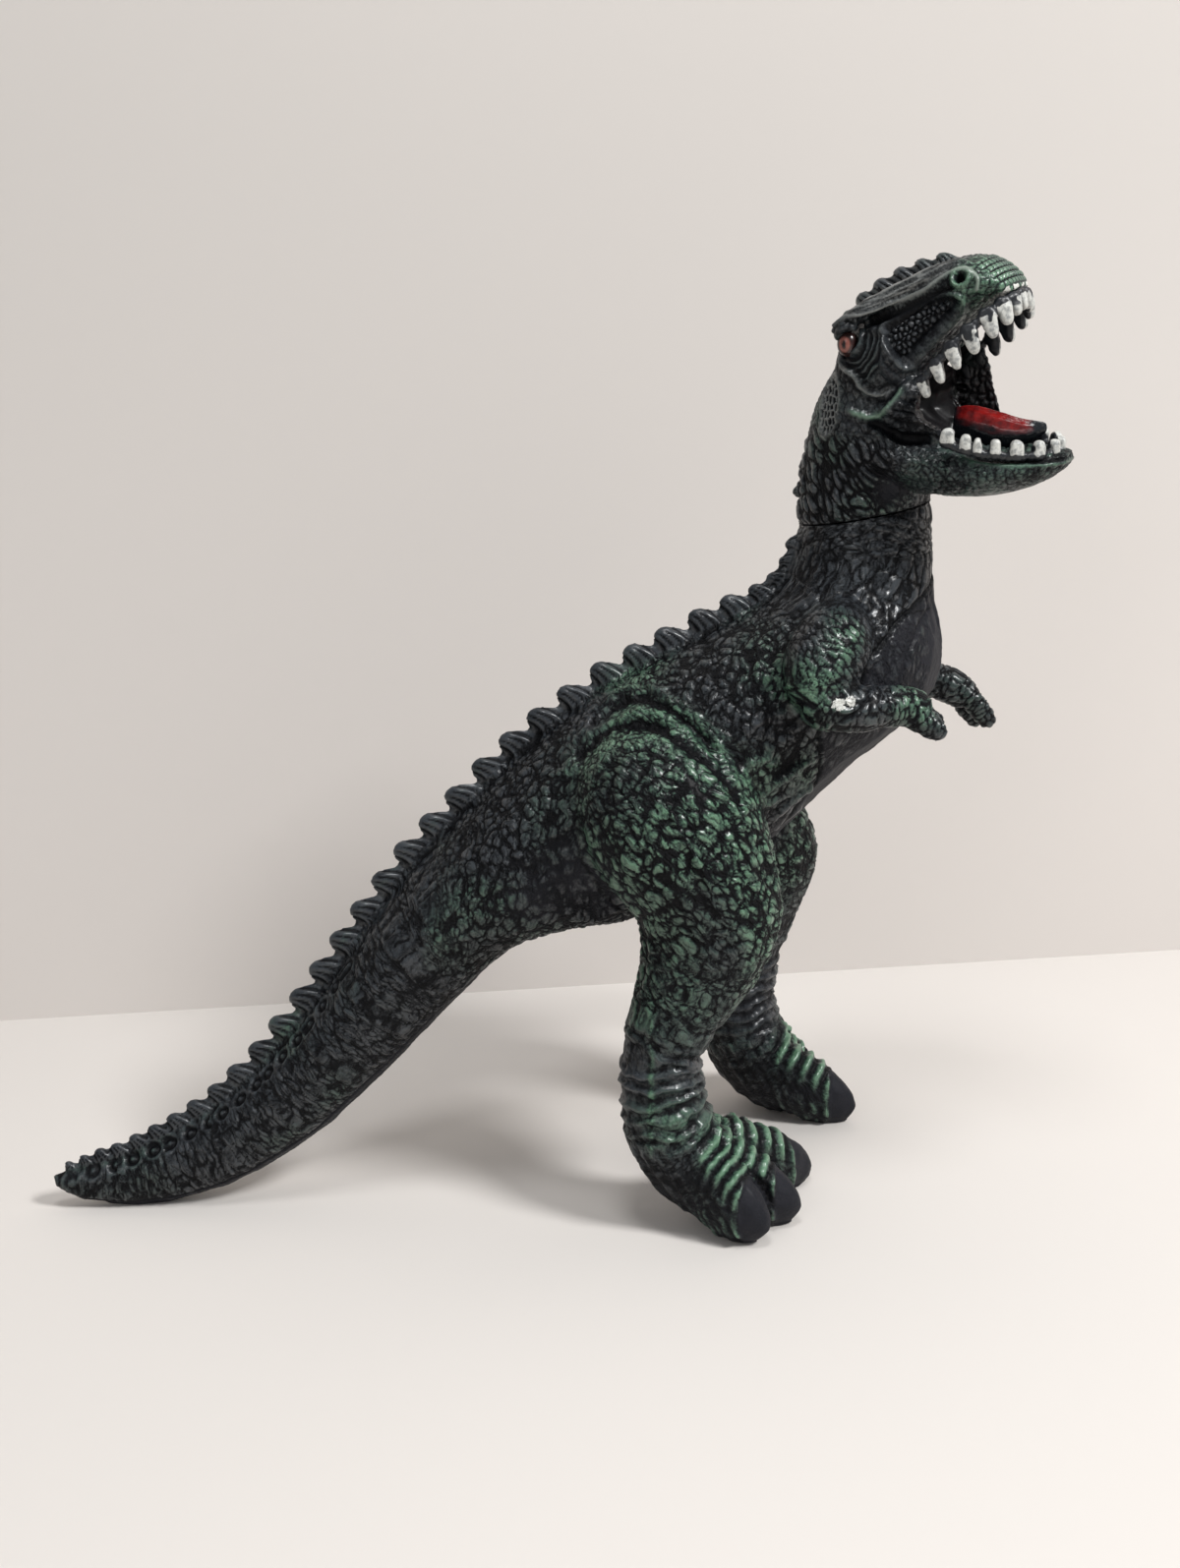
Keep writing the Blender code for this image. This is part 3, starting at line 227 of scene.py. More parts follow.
# Teeth from the mouth's corner to the middle of the front: x, z, lateral place, width and length
UPPER_TEETH = [
    (88.6, 264.8, 20.0, 2.9, 5.4), (92.6, 269.6, 19.8, 3.2, 6.2), (96.8, 274.3, 19.0, 3.7, 7.0),
    (101.3, 278.8, 17.4, 4.2, 7.4), (105.8, 283.0, 14.8, 4.4, 7.4), (109.0, 285.8, 11.0, 4.2, 6.8),
    (110.6, 287.2, 6.6, 3.8, 5.8), (111.3, 287.9, 2.2, 3.6, 5.2),
]
LOWER_TEETH = [
    (96.4, 246.4, 19.8, 4.0, 4.8), (101.6, 244.6, 18.9, 3.3, 4.8), (104.9, 243.8, 18.1, 2.4, 4.5),
    (109.7, 243.0, 16.4, 3.1, 4.8), (115.2, 242.4, 13.7, 4.0, 4.9), (120.5, 242.0, 9.3, 3.7, 4.8),
    (123.4, 241.8, 3.2, 3.5, 4.5),
]
# The far cheek's skin in front of the mouth's corner: x and z of its front edge
CHEEK_WEB = [
    (92.8, 273.6), (95.2, 269.0), (96.8, 265.2), (97.8, 260.4), (99.0, 256.2), (100.6, 250.8), (101.5, 246.0),
]
# How square a tooth is, 2 being round, and how thick the gum between the teeth is
SQUARENESS = 3.2
GUM_RADIUS = 1.45
# The way the teeth stand out of the upper and the lower jaw
UPPER_WAY = np.array((0.33, 0.0, -0.944))
LOWER_WAY = np.array((0.05, 0.0, 0.999))

# The room, in millimetres: left and right end, front edge, the wall behind the figure and its height
ROOM_LEFT, ROOM_RIGHT = -1500, 1800
ROOM_FRONT = -2500
WALL_PLACE = 181
WALL_HEIGHT = 1600
# Lamps: name, place in millimetres, width in metres and power in watts
LAMPS = [
    ("key", (880, -760, 1250), 0.36, 21.6),
    ("fill", (-700, -1100, 700), 0.5, 1.7),
    ("top", (-50, -350, 1200), 0.3, 3.4),
]
ROOM_LIGHT = (0.93, 0.96, 1.0, 1.0)
ROOM_BRIGHTNESS = 0.30


# Numbers over whole meshes
def blend_step(low, high, value):
    """A smooth rise from 0 to 1 between low and high, which may fall instead."""
    share = np.clip((value - low) / (high - low), 0.0, 1.0)
    return share * share * (3.0 - 2.0 * share)


def bump(value, middle, width):
    """A smooth hill of height 1 about middle."""
    return np.exp(-(((value - middle) / width) ** 2))


def blended(base, over, share):
    """One value where the share is 0 and the other where it is 1."""
    return base * (1 - share) + over * share


def scatter(*keys):
    """A steady number from 0 to 1 for each set of whole numbers."""
    total = np.zeros_like(np.asarray(keys[0], dtype=np.uint64))
    for index, key in enumerate(keys):
        prime = np.uint64((2654435761, 2246822519, 3266489917, 668265263)[index])
        total ^= np.asarray(key, dtype=np.int64).astype(np.uint64) * prime
    total ^= total >> np.uint64(15)
    total *= np.uint64(2246822519)
    total ^= total >> np.uint64(13)
    total *= np.uint64(3266489917)
    total ^= total >> np.uint64(16)
    return (total & np.uint64(0xFFFFFF)).astype(np.float64) / 0xFFFFFF


def cloud(points, size, seed):
    """Soft noise from -1 to 1 that changes over about size."""
    place = points / size + seed * 17.31
    corner = np.floor(place).astype(np.int64)
    share = place - corner
    share = share * share * (3.0 - 2.0 * share)
    total = np.zeros(len(points))
    seeds = np.full(len(points), seed)
    for shift in np.ndindex(2, 2, 2):
        parts = [share[:, axis] if shift[axis] else 1 - share[:, axis] for axis in range(3)]
        total += parts[0] * parts[1] * parts[2] * scatter(*(corner + shift).T, seeds)
    return total * 2.0 - 1.0


def pebbles(u, v, wide, tall, seed, jitter):
    """Cells over a surface: distance to the nearest border, in shares of a cell, and a number for each."""
    x = u / wide
    y = v / tall
    column = np.floor(x).astype(np.int64)
    row = np.floor(y).astype(np.int64)
    first = np.full(len(u), 9.0)
    second = np.full(len(u), 9.0)
    label = np.zeros(len(u))
    for i in (-1, 0, 1):
        for j in (-1, 0, 1):
            a = column + i
            b = row + j
            seeds = np.full_like(a, seed)
            px = a + 0.5 + jitter * (scatter(a, b, seeds) - 0.5) + 0.5 * (b % 2)
            py = b + 0.5 + jitter * (scatter(b, a, seeds + 7) - 0.5)
            far = np.hypot(x - px, y - py)
            nearer = far < first
            second = np.where(nearer, first, np.minimum(second, far))
            label = np.where(nearer, scatter(a, b, seeds + 13), label)
            first = np.where(nearer, far, first)
    return second - first, label


def lumps(place, seed):
    """Cells through space: distance to the nearest border, in shares of a cell, and a number for each."""
    jitter = 0.9
    base = np.floor(place).astype(np.int64)
    first = np.full(len(place), 9.0)
    second = np.full(len(place), 9.0)
    label = np.zeros(len(place))
    for shift in np.ndindex(3, 3, 3):
        a, b, c = (base + np.array(shift) - 1).T
        offset = [
            place[:, axis] - key - 0.5 - jitter * (scatter(a, b, c, seed + axis + 0 * a) - 0.5)
            for axis, key in enumerate((a, b, c))
        ]
        far = np.sqrt(offset[0] ** 2 + offset[1] ** 2 + offset[2] ** 2)
        nearer = far < first
        second = np.where(nearer, first, np.minimum(second, far))
        label = np.where(nearer, scatter(a, b, c, seed + 13 + 0 * a), label)
        first = np.where(nearer, far, first)
    return second - first, label


def smooth_line(points, steps=5):
    """A polyline with smooth points between the given ones."""
    points = [np.array(point, dtype=float) for point in points]
    result = []
    for index in range(len(points) - 1):
        p0 = points[max(index - 1, 0)]
        p1 = points[index]
        p2 = points[index + 1]
        p3 = points[min(index + 2, len(points) - 1)]
        for step in range(steps):
            t = step / steps
            square = (2 * p0 - 5 * p1 + 4 * p2 - p3) * t * t
            result.append(0.5 * (2 * p1 + (p2 - p0) * t + square + (3 * p1 - p0 - 3 * p2 + p3) * t**3))
    result.append(points[-1])
    return np.array(result)


def line_distance(places, points, steps=5):
    """Distance of each place from a line in two dimensions, its side, the run along it and the whole run."""
    line = smooth_line(points, steps)
    best = np.full(len(places), 1e9)
    side = np.zeros(len(places))
    run = np.zeros(len(places))
    walked = 0.0
    for start, end in zip(line[:-1], line[1:]):
        way = end - start
        length = np.hypot(*way)
        if length == 0:
            continue
        way = way / length
        offset = places - start
        along = np.clip(offset @ way, 0, length)
        gap = offset - along[:, None] * way
        far = np.hypot(gap[:, 0], gap[:, 1])
        nearer = far < best
        best = np.where(nearer, far, best)
        side = np.where(nearer, way[0] * gap[:, 1] - way[1] * gap[:, 0], side)
        run = np.where(nearer, walked + along, run)
        walked += length
    return best, side, run, walked


def stroke(places, points, width):
    """A soft band of height 1 along a line."""
    far, _side, run, total = line_distance(places, points)
    ends = blend_step(-0.5, width, run) * blend_step(total + 0.5, total - width, run)
    return bump(far, 0.0, width) * (0.25 + 0.75 * ends)


def along_limb(points, rows):
    """For each point: run along the limb, distance in shares of its thickness, turn about it and girth."""
    rows = np.array(rows, dtype=float)
    centres = rows[:, :3]
    best = np.full(len(points), 1e9)
    run = np.zeros(len(points))
    turn = np.zeros(len(points))
    girth = np.ones(len(points))
    walked = 0.0
    for index in range(len(rows) - 1):
        start = centres[index]
        way = centres[index + 1] - start
        length = np.linalg.norm(way)
        way = way / length
        offset = points - start
        along = np.clip(offset @ way, 0, length)
        share = along / length
        depth_size = rows[index, 3] + (rows[index + 1, 3] - rows[index, 3]) * share
        width_size = rows[index, 4] + (rows[index + 1, 4] - rows[index, 4]) * share
        across = np.array((0.0, 1.0, 0.0)) - way * way[1]
        across /= np.linalg.norm(across)
        depth = np.cross(across, way)
        gap = offset - along[:, None] * way
        a = gap @ depth / depth_size
        b = gap @ across / width_size
        c = (offset @ way - along) / np.minimum(depth_size, width_size)
        far = np.sqrt(a * a + b * b + c * c)
        nearer = far < best
        best = np.where(nearer, far, best)
        run = np.where(nearer, walked + along, run)
        turn = np.where(nearer, np.arctan2(b, a), turn)
        girth = np.where(nearer, (depth_size + width_size) / 2, girth)
        walked += length
    return run, best, turn, girth


def nearer_limb(points, right, left):
    """What along_limb says of the limb on each point's own side."""
    pairs = zip(along_limb(points, right), along_limb(points, left))
    return [np.where(points[:, 1] < 0, on_right, on_left) for on_right, on_left in pairs]


# The head turned as it is, and as it looks straight ahead
def directions_to_head(vectors):
    return vectors @ TURNED_BACK.T


def directions_from_head(vectors):
    return vectors @ TURNED.T


def to_head(points):
    """Places as they are when the head looks straight ahead."""
    return directions_to_head(points - NECK_PLACE) + NECK_PLACE


def from_head(points):
    """Places on the turned head from those on the head that looks straight ahead."""
    return directions_from_head(points - NECK_PLACE) + NECK_PLACE


def above_ring(points):
    """How far each point lies above the neck ring, along the neck."""
    return (points - NECK_PLACE) @ np.array(NECK_AXIS)


# Meshes
def corners_of(mesh):
    """Places of a mesh's points in metres."""
    store = np.empty(len(mesh.vertices) * 3, dtype=np.float32)
    mesh.vertices.foreach_get("co", store)
    return store.reshape(-1, 3).astype(np.float64)


def points_of(mesh):
    """Places of a mesh's points in the figure's own measure."""
    return (corners_of(mesh) - SHIFT) / MM


def edge_pairs(mesh):
    store = np.empty(len(mesh.edges) * 2, dtype=np.int32)
    mesh.edges.foreach_get("vertices", store)
    return store.reshape(-1, 2)


def normals_of(mesh):
    store = np.empty(len(mesh.vertices) * 3, dtype=np.float32)
    mesh.vertex_normals.foreach_get("vector", store)
    return store.reshape(-1, 3).astype(np.float64)


def put_points(mesh, points):
    mesh.vertices.foreach_set("co", (points * MM + SHIFT).astype(np.float32).ravel())
    mesh.update()


def neighbour_mean(count, pairs):
    """Gives a function that takes a number for each point and gives the mean of its neighbours' numbers."""
    both = np.concatenate([pairs, pairs[:, ::-1]])
    links = np.bincount(both[:, 0], minlength=count)

    def mean(values):
        return np.bincount(both[:, 0], weights=values[both[:, 1]], minlength=count) / links

    return mean


def relaxed(points, pairs, rounds, strength):
    """Points drawn towards the middle of their neighbours, each by its own strength."""
    mean = neighbour_mean(len(points), pairs)
    strength = np.broadcast_to(np.asarray(strength, dtype=float), (len(points),))[:, None]
    for _round in range(rounds):
        points = points + (np.stack([mean(values) for values in points.T], 1) - points) * strength
    return points


def spread(values, pairs, rounds):
    """Numbers drawn towards those of their neighbours."""
    mean = neighbour_mean(len(values), pairs)
    for _round in range(rounds):
        values = mean(values)
    return values


def added(name, data):
    """A new object in the scene."""
    item = bpy.data.objects.new(name, data)
    bpy.context.scene.collection.objects.link(item)
    return item


def regrained(name, mesh, grain):
    """A piece with small even faces in the space of a mesh."""
    item = added(name, mesh)
    remesh = item.modifiers.new("grain", "REMESH")
    remesh.mode = "VOXEL"
    remesh.voxel_size = grain * MM
    shown = item.evaluated_get(bpy.context.evaluated_depsgraph_get())
    item.data = bpy.data.meshes.new_from_object(shown)
    item.modifiers.clear()
    keep_largest(item.data)
    return item


def add_fins(builder, fins, turned=False):
    """Leaf-shaped fins with a thin rim."""
    for x, z, up_x, up_z, size in fins:
        rings = []
        for side, share in ((-1.0, 0.5), (-0.4, 0.86), (0.0, 1.0), (0.4, 0.86), (1.0, 0.5)):
            outline = np.array(FIN_OUTLINE) * (share, 0.35 + 0.65 * share)
            along = outline[:, 0] * FIN_LENGTH * size
            rise = outline[:, 1] * FIN_HEIGHT * size
            aside = np.full(len(along), side * FIN_THICKNESS * (0.4 + 0.6 * size))
            ring = np.stack([x + up_z * along + up_x * rise, aside, z - up_x * along + up_z * rise], 1)
            ring = from_head(ring) if turned else ring
            rings.append([builder.verts.new(Vector(spot * MM + SHIFT)) for spot in ring])
        for first, second in zip(rings[:-1], rings[1:]):
            for index in range(len(first)):
                after = (index + 1) % len(first)
                builder.faces.new((first[index], first[after], second[after], second[index]))
        builder.faces.new(list(reversed(rings[0])))
        builder.faces.new(rings[-1])


def fin_marks(points, fins):
    """Where the fins stand, from 0 to 1, and the dark stripes on their sides."""
    proud = np.zeros(len(points))
    stripe = np.zeros(len(points))
    for x, z, up_x, up_z, size in fins:
        far = np.hypot(points[:, 0] - x, points[:, 2] - z)
        near = np.nonzero((np.abs(points[:, 1]) < 4.5) & (far < 13 * size))[0]
        offset = points[near][:, [0, 2]] - (x, z)
        along = (offset @ (up_z, -up_x)) / (FIN_LENGTH * size)
        rise = (offset @ (up_x, up_z)) / (FIN_HEIGHT * size)
        here = blend_step(0.02, 0.2, rise) * blend_step(0.64, 0.5, np.abs(along))
        lines = bump(np.mod((along + 0.30 * rise * rise) / (1.0 - 0.25 * rise) + 2.0, 0.25), 0.125, 0.042)
        stripe[near] = np.where(here > proud[near], lines * blend_step(0.95, 0.7, rise), stripe[near])
        proud[near] = np.maximum(proud[near], here)
    return proud, stripe


def grown_together(name, nodes, grain, extra=None, fins=()):
    """One closed mesh, with small even faces, in the space of several CAD nodes, an extra mesh and fins."""
    builder = bmesh.new()
    if extra:
        builder.from_mesh(extra)
    add_fins(builder, fins, "head_skin" in nodes)
    for node in nodes:
        builder.from_mesh(frame["nodes"][node].data)
    bmesh.ops.remove_doubles(builder, verts=builder.verts, dist=WELD)
    builder.normal_update()
    for vertex in builder.verts:
        vertex.co += vertex.normal * SWELL
    mesh = bpy.data.meshes.new(name)
    builder.to_mesh(mesh)
    builder.free()
    return regrained(name, mesh, grain)


def keep_largest(mesh):
    """Deletes every loose lump but the largest."""
    pairs = edge_pairs(mesh)
    label = np.arange(len(mesh.vertices))
    while True:
        low = np.minimum(label[pairs[:, 0]], label[pairs[:, 1]])
        new = label.copy()
        np.minimum.at(new, pairs[:, 0], low)
        np.minimum.at(new, pairs[:, 1], low)
        while True:
            jumped = new[new]
            if np.array_equal(jumped, new):
                break
            new = jumped
        if np.array_equal(new, label):
            break
        label = new
    names, counts = np.unique(label, return_counts=True)
    wanted = names[np.argmax(counts)]
    if len(names) == 1:
        return
    builder = bmesh.new()
    builder.from_mesh(mesh)
    builder.verts.ensure_lookup_table()
    loose = [builder.verts[index] for index in np.nonzero(label != wanted)[0]]
    bmesh.ops.delete(builder, geom=loose, context="VERTS")
    builder.to_mesh(mesh)
    builder.free()


def number_layer(mesh, name, values):
    """A number for each point of the mesh, for the shader to read."""
    layer = mesh.attributes.new(name, "FLOAT", "POINT")
    layer.data.foreach_set("value", values.astype(np.float32))


def paint_layer(mesh, name, values):
    number_layer(mesh, name, np.clip(values, 0.0, 1.0))


def chosen(weights, choices):
    """For each point the cell coordinates that have the greatest weight."""
    pick = np.argmax(np.stack(weights), axis=0)
    spot = np.arange(len(pick))
    apart = 40.0
    return [
        np.stack([choice[axis] + apart * index for index, choice in enumerate(choices)])[pick, spot]
        for axis in range(3)
    ]


def finish_hide(mesh, points, layers, coordinates):
    """Puts a hide's points in place, with its paint and its place among the fine cells of the shader."""
    put_points(mesh, np.clip(points, *BOX))
    for name, values in layers.items():
        paint_layer(mesh, name, values)
    for name, values in zip(("along", "across", "deep"), coordinates):
        number_layer(mesh, name, values)
    mesh.shade_smooth()


# Relief of the body's hide
def patches(side, spots):
    """Soft round patches, from 0 to 1, given by x, z, size and strength."""
    total = np.zeros(len(side))
    for x, z, size, strength in spots:
        far = np.hypot(side[:, 0] - x, side[:, 1] - z)
        total = np.maximum(total, strength * bump(far, 0.0, size))
    return total


def limb_place(limb, bend, warp):
    """Run along a limb and place across it, bent back by its width and waved."""
    run, far, turn, girth = limb
    aside = far * girth * np.sin(turn)
    return np.stack([run + bend * np.abs(aside), far * girth * np.cos(turn), aside], 1) + warp


def wrinkles(place, pitch, length, seed):
    """Long cells across a limb: how raised each place is, from 0 in the cracks to 1."""
    border, label = lumps(place / (pitch, length, length), seed)
    return blend_step(0.0, 0.34, border) * (0.7 + 0.3 * label)


def toe_relief(points, normals):
    """Ridges over the toes and the smooth claws at their ends."""
    ridges = np.zeros(len(points))
    claw = np.zeros(len(points))
    nearest = np.full(len(points), 1e9)
    next_one = np.full(len(points), 1e9)
    zone = np.zeros(len(points))
    for x0, y0, x1, y1 in TOES:
        way = np.array((x1 - x0, y1 - y0), dtype=float)
        length = np.hypot(*way)
        way /= length
        offset = points[:, :2] - np.array((x0, y0))
        along = offset @ way
        off = np.abs(offset[:, 0] * way[1] - offset[:, 1] * way[0])
        beyond = np.maximum(along - length, 0) + np.maximum(-4 - along, 0)
        off = np.hypot(off, beyond)
        here = (off < nearest) & (along > -4) & (points[:, 2] < 40)
        next_one = np.where(here, nearest, np.minimum(next_one, off))
        nearest = np.where(here, off, nearest)
        share = along / length
        pitch = length / 8.0
        wave = bump(np.mod(along + 0.05 * off * off, pitch), pitch / 2, pitch / 3.4)
        upper = blend_step(-0.7, -0.1, normals[:, 2]) * blend_step(9.0, 5.5, off)
        over = upper * blend_step(0.12, 0.24, share) * blend_step(0.80, 0.74, share)
        ridges = np.where(here, wave * over, ridges)
        zone = np.where(here, over, zone)
        claw = np.where(here & (off < 9), blend_step(0.75, 0.80, share), claw)
    low = blend_step(42, 32, points[:, 2])
    between = blend_step(2.6, 0.6, next_one - nearest) * blend_step(24, 16, points[:, 2]) * (nearest < 12)
    return ridges * low * (1 - between), claw * blend_step(26, 22, points[:, 2]), between, zone * low


def body_relief(points, normals):
    """Height of the moulded texture, and the paint and painted crease shade that go with it, for each point
    of the body.
    """
    body = along_limb(points, SPINE_ROWS)
    leg = nearer_limb(points, LEG_RIGHT, LEG_LEFT)
    arm = nearer_limb(points, ARM_RIGHT, ARM_LEFT)
    run, body_far, turn, girth = body
    x, y, z = points.T
    side = points[:, [0, 2]]
    weights = np.stack([np.exp(-14.0 * limb[1]) for limb in (body, leg, arm)])
    on_body, on_leg, on_arm = weights / weights.sum(0)
    crest = np.abs(turn)
    arc = turn * girth
    soft = cloud(points, 9.0, 3)
    fine = cloud(points, 3.5, 5)
    other = cloud(points, 3.5, 11)
    wide = cloud(points, 24.0, 8)
    tiny = cloud(points, 1.8, 9)

    # Knobbly flanks with long cracks, ringed tail, and a neck whose wrinkles sweep down from the nape
    warp = np.stack([fine, other, cloud(points, 3.5, 14)], 1)
    border, label = lumps((points + 1.4 * warp) / (3.3, 4.3, 5.2), 1)
    crack = blend_step(0.12, 0.0, lumps((points + 0.8 * warp) / (9.0, 11.0, 10.5), 2)[0])
    flank = np.clip(blend_step(0.0, 0.34, border) * (0.72 + 0.28 * label) + 0.2 * tiny, 0, 1)
    flank *= 1 - 0.9 * crack
    waves = 0.6 * warp + np.stack([1.3 * soft, 0 * soft, 0 * soft], 1)
    tail_place = limb_place(body, -0.16, waves)
    neck_place = limb_place(body, 0.5, waves)
    rings = wrinkles(tail_place, 2.3, 8.0, 4)
    sweep = wrinkles(neck_place, 2.6, 6.0, 6)
    to_tail = blend_step(-58, -98, x)
    to_neck = blend_step(184, 200, z) * blend_step(20, 34, x)
    torso = (1 - to_tail) * (1 - to_neck)
    skin = flank * torso + (0.75 * rings + 0.25 * flank) * to_tail + (0.7 * sweep + 0.3 * flank) * to_neck
    depth = 0.75 * torso + 0.62 * to_tail + 0.68 * to_neck

    # One row of ring scales beside the tail's spikes, from its middle to the tip
    shrink = np.clip(girth / 17.0, 0.45, 1.1)
    step = np.mod(run - 2.0, 7.7) - 3.85
    gap = np.hypot(step, np.abs(arc) - 8.6 * shrink)
    in_row = blend_step(-92, -120, x) * on_body
    scale_groove = in_row * bump(gap, 1.9, 0.65) * blend_step(-203, -190, x)
    scale_knob = in_row * (bump(gap, 0.0, 0.85) + 0.6 * bump(gap, 3.1, 0.6))
    skin = np.clip(skin * (1 - bump(gap, 0.0, 3.2) * in_row) + 0.8 * scale_knob, 0, 1) * (1 - scale_groove)

    # Spikes: stripes that run from their feet to their tips
    proud, stripe = fin_marks(points, FINS)
    skin = blended(skin, 0.72 - 0.72 * stripe + 0.2 * other, proud)
    beside = bump((body_far - 1.0) * girth, 0.6, 1.3) * blend_step(0.75, 0.45, crest) * on_body

    # Smooth belly, chest and underside
    underside = on_body * blend_step(0.66 * math.pi, 0.84 * math.pi, crest) * (1 - to_neck)
    chest_side = blend_step(0, 2.0, line_distance(side, BELLY_SEAM)[1])
    in_chest = on_body * chest_side * blend_step(118, 128, z) * blend_step(203, 198, z)
    in_chest *= blend_step(20, 40, x)
    smooth = underside * 0.9 + in_chest * 0.6 + patches(side, SMOOTH_SPOTS) * (on_body + on_leg)
    smooth = np.clip(smooth, 0, 1)
    tail_line = on_body * to_tail * bump(crest, 0.76 * math.pi, 0.05)

    # Legs: a slanted net on the thigh, level wrinkles on the shin, folds round the ankle
    slant = np.stack([(x + z) * 0.7071, y, (x - z) * 0.7071], 1)
    net_border, net_label = lumps((slant + 1.3 * warp) / (3.1, 4.6, 7.0), 9)
    net = np.clip(blend_step(0.0, 0.34, net_border) * (0.72 + 0.28 * net_label) + 0.2 * tiny, 0, 1)
    net *= 1 - 0.9 * blend_step(0.12, 0.0, lumps((slant + 0.8 * warp) / (7.5, 10.0, 11.0), 10)[0])
    shin_place = limb_place(leg, 0.0, waves)
    shin = 0.6 * wrinkles(shin_place, 2.8, 6.0, 12) + 0.4 * net
    to_shin = blend_step(100, 80, z)
    fold = np.mod(leg[0] + 1.9 * soft + 0.8 * fine, 5.0)
    at_ankle = bump(z, 48, 21) * blend_step(80, 66, z) * blend_step(12, 22, z)
    fold_top = bump(fold, 2.5, 1.15) * at_ankle
    leg_skin = blended(net, shin, to_shin)
    leg_skin = leg_skin * (1 - 0.75 * at_ankle) + (0.6 * bump(fold, 2.5, 1.3) + 0.4 * leg_skin) * at_ankle
    leg_depth = blended(0.85, 0.7, to_shin)
    inner = blend_step(-0.1, 0.6, np.where(y < 0, normals[:, 1], -0.2 * normals[:, 1]))
    inner *= blend_step(104, 84, z)
    inner *= np.where(y > 0, blend_step(24, 44, z), 1.0)
    toe_ridges, claw, between, toe_zone = toe_relief(points, normals)
    toe_zone *= on_leg
    between *= on_leg * blend_step(-0.2, 0.3, normals[:, 2])
    toe_ridges *= on_leg
    claw *= on_leg
    instep = blend_step(34, 20, z) * (1 - toe_ridges)
    on_foot = blend_step(36, 26, z)
    ribs = bump(np.mod(x * 0.9 + 0.5 * z + 0.8 * soft, 3.1), 1.55, 0.75)
    ribs *= on_foot * (1 - claw) * (1 - between)

    # Arms: round wrinkles on the shoulder, cross wrinkles on the forearm
    shoulder = np.hypot(x - 45, z - 184)
    arm_place = limb_place(arm, 0.0, 0.6 * waves)
    arm_skin = wrinkles(arm_place, 1.9, 4.5, 15)
    arched = wrinkles(np.stack([0.8 * x + 0.6 * z, y, 0.8 * z - 0.6 * x], 1) + 0.6 * waves, 1.8, 5.0, 16)
    arm_skin = blended(arm_skin, arched, blend_step(17, 12, shoulder))

    height = on_body * skin * depth * (1 - 0.85 * smooth)
    height += on_leg * leg_skin * leg_depth * (1 - 0.7 * inner) * (1 - claw) * (1 - 0.6 * instep)
    height += on_arm * arm_skin * 0.6
    height += 0.45 * ribs * on_leg * (1 - toe_zone)
    height += 1.45 * toe_ridges - 0.8 * between - 0.9 * scale_groove
    height += on_leg * 1.05 * fold_top * (1 - 0.3 * inner)
    height = blended(height, 0.35 - 0.5 * stripe, proud)
    # relief marks where dry-brushed paint falls; where it is low, in creases, grooves and between the toes,
    # the shader paints shade
    relief = on_body * skin * (1 - 0.8 * smooth) + on_arm * arm_skin
    relief += on_leg * leg_skin * (1 - 0.55 * inner) * (1 - claw) * (1 - 0.5 * instep)
    foot_ribs = ribs * on_leg * (1 - toe_zone)
    relief = np.clip(relief * (1 - tail_line) * (1 - toe_zone) + 0.95 * toe_ridges, 0, 1) * (1 - between)
    relief *= 1 - 0.35 * (on_foot * on_leg * (1 - toe_zone) - foot_ribs)
    height -= 0.6 * tail_line

    # Folds over the hip, in front of the thigh and on the chest, and the seam beside it
    sideways = np.abs(normals[:, 1])
    outer = np.clip(blend_step(0.15, 0.45, sideways) + blend_step(0.2, 0.5, normals[:, 2]), 0, 1)
    outer *= 1 - on_arm
    for line in HIP_FOLDS:
        far = line_distance(side, line)[0]
        dip = bump(far, 0.0, 1.2) * outer
        lip = bump(far, 3.0, 1.7) * outer
        height += 0.55 * lip - 1.0 * dip
        relief = np.clip(relief * (1 - dip) + 0.25 * lip, 0, 1)
    for line in BELLY_FOLDS:
        ridge = stroke(side, line, 1.3) * on_body * outer
        height += 1.3 * ridge
        relief = np.clip(relief * (1 - 0.5 * ridge) + 0.8 * ridge, 0, 1)
    for line in CHEST_FOLDS:
        groove = stroke(side, line, 0.8) * on_body * outer
        height -= 0.7 * groove
        relief *= 1 - 0.8 * groove
    seam = stroke(side, BELLY_SEAM, 0.7) * (on_body + on_arm * (z > 163)) * blend_step(0.1, 0.4, sideways)
    height -= 1.1 * seam
    relief *= 1 - seam
    mould = bump(x, -15.5 + 0.03 * (z - 50), 0.9) * bump(z, 50, 22)
    mould *= blend_step(0.1, 0.4, np.where(y < 0, -normals[:, 1], normals[:, 1]))
    height += 0.5 * mould * on_leg

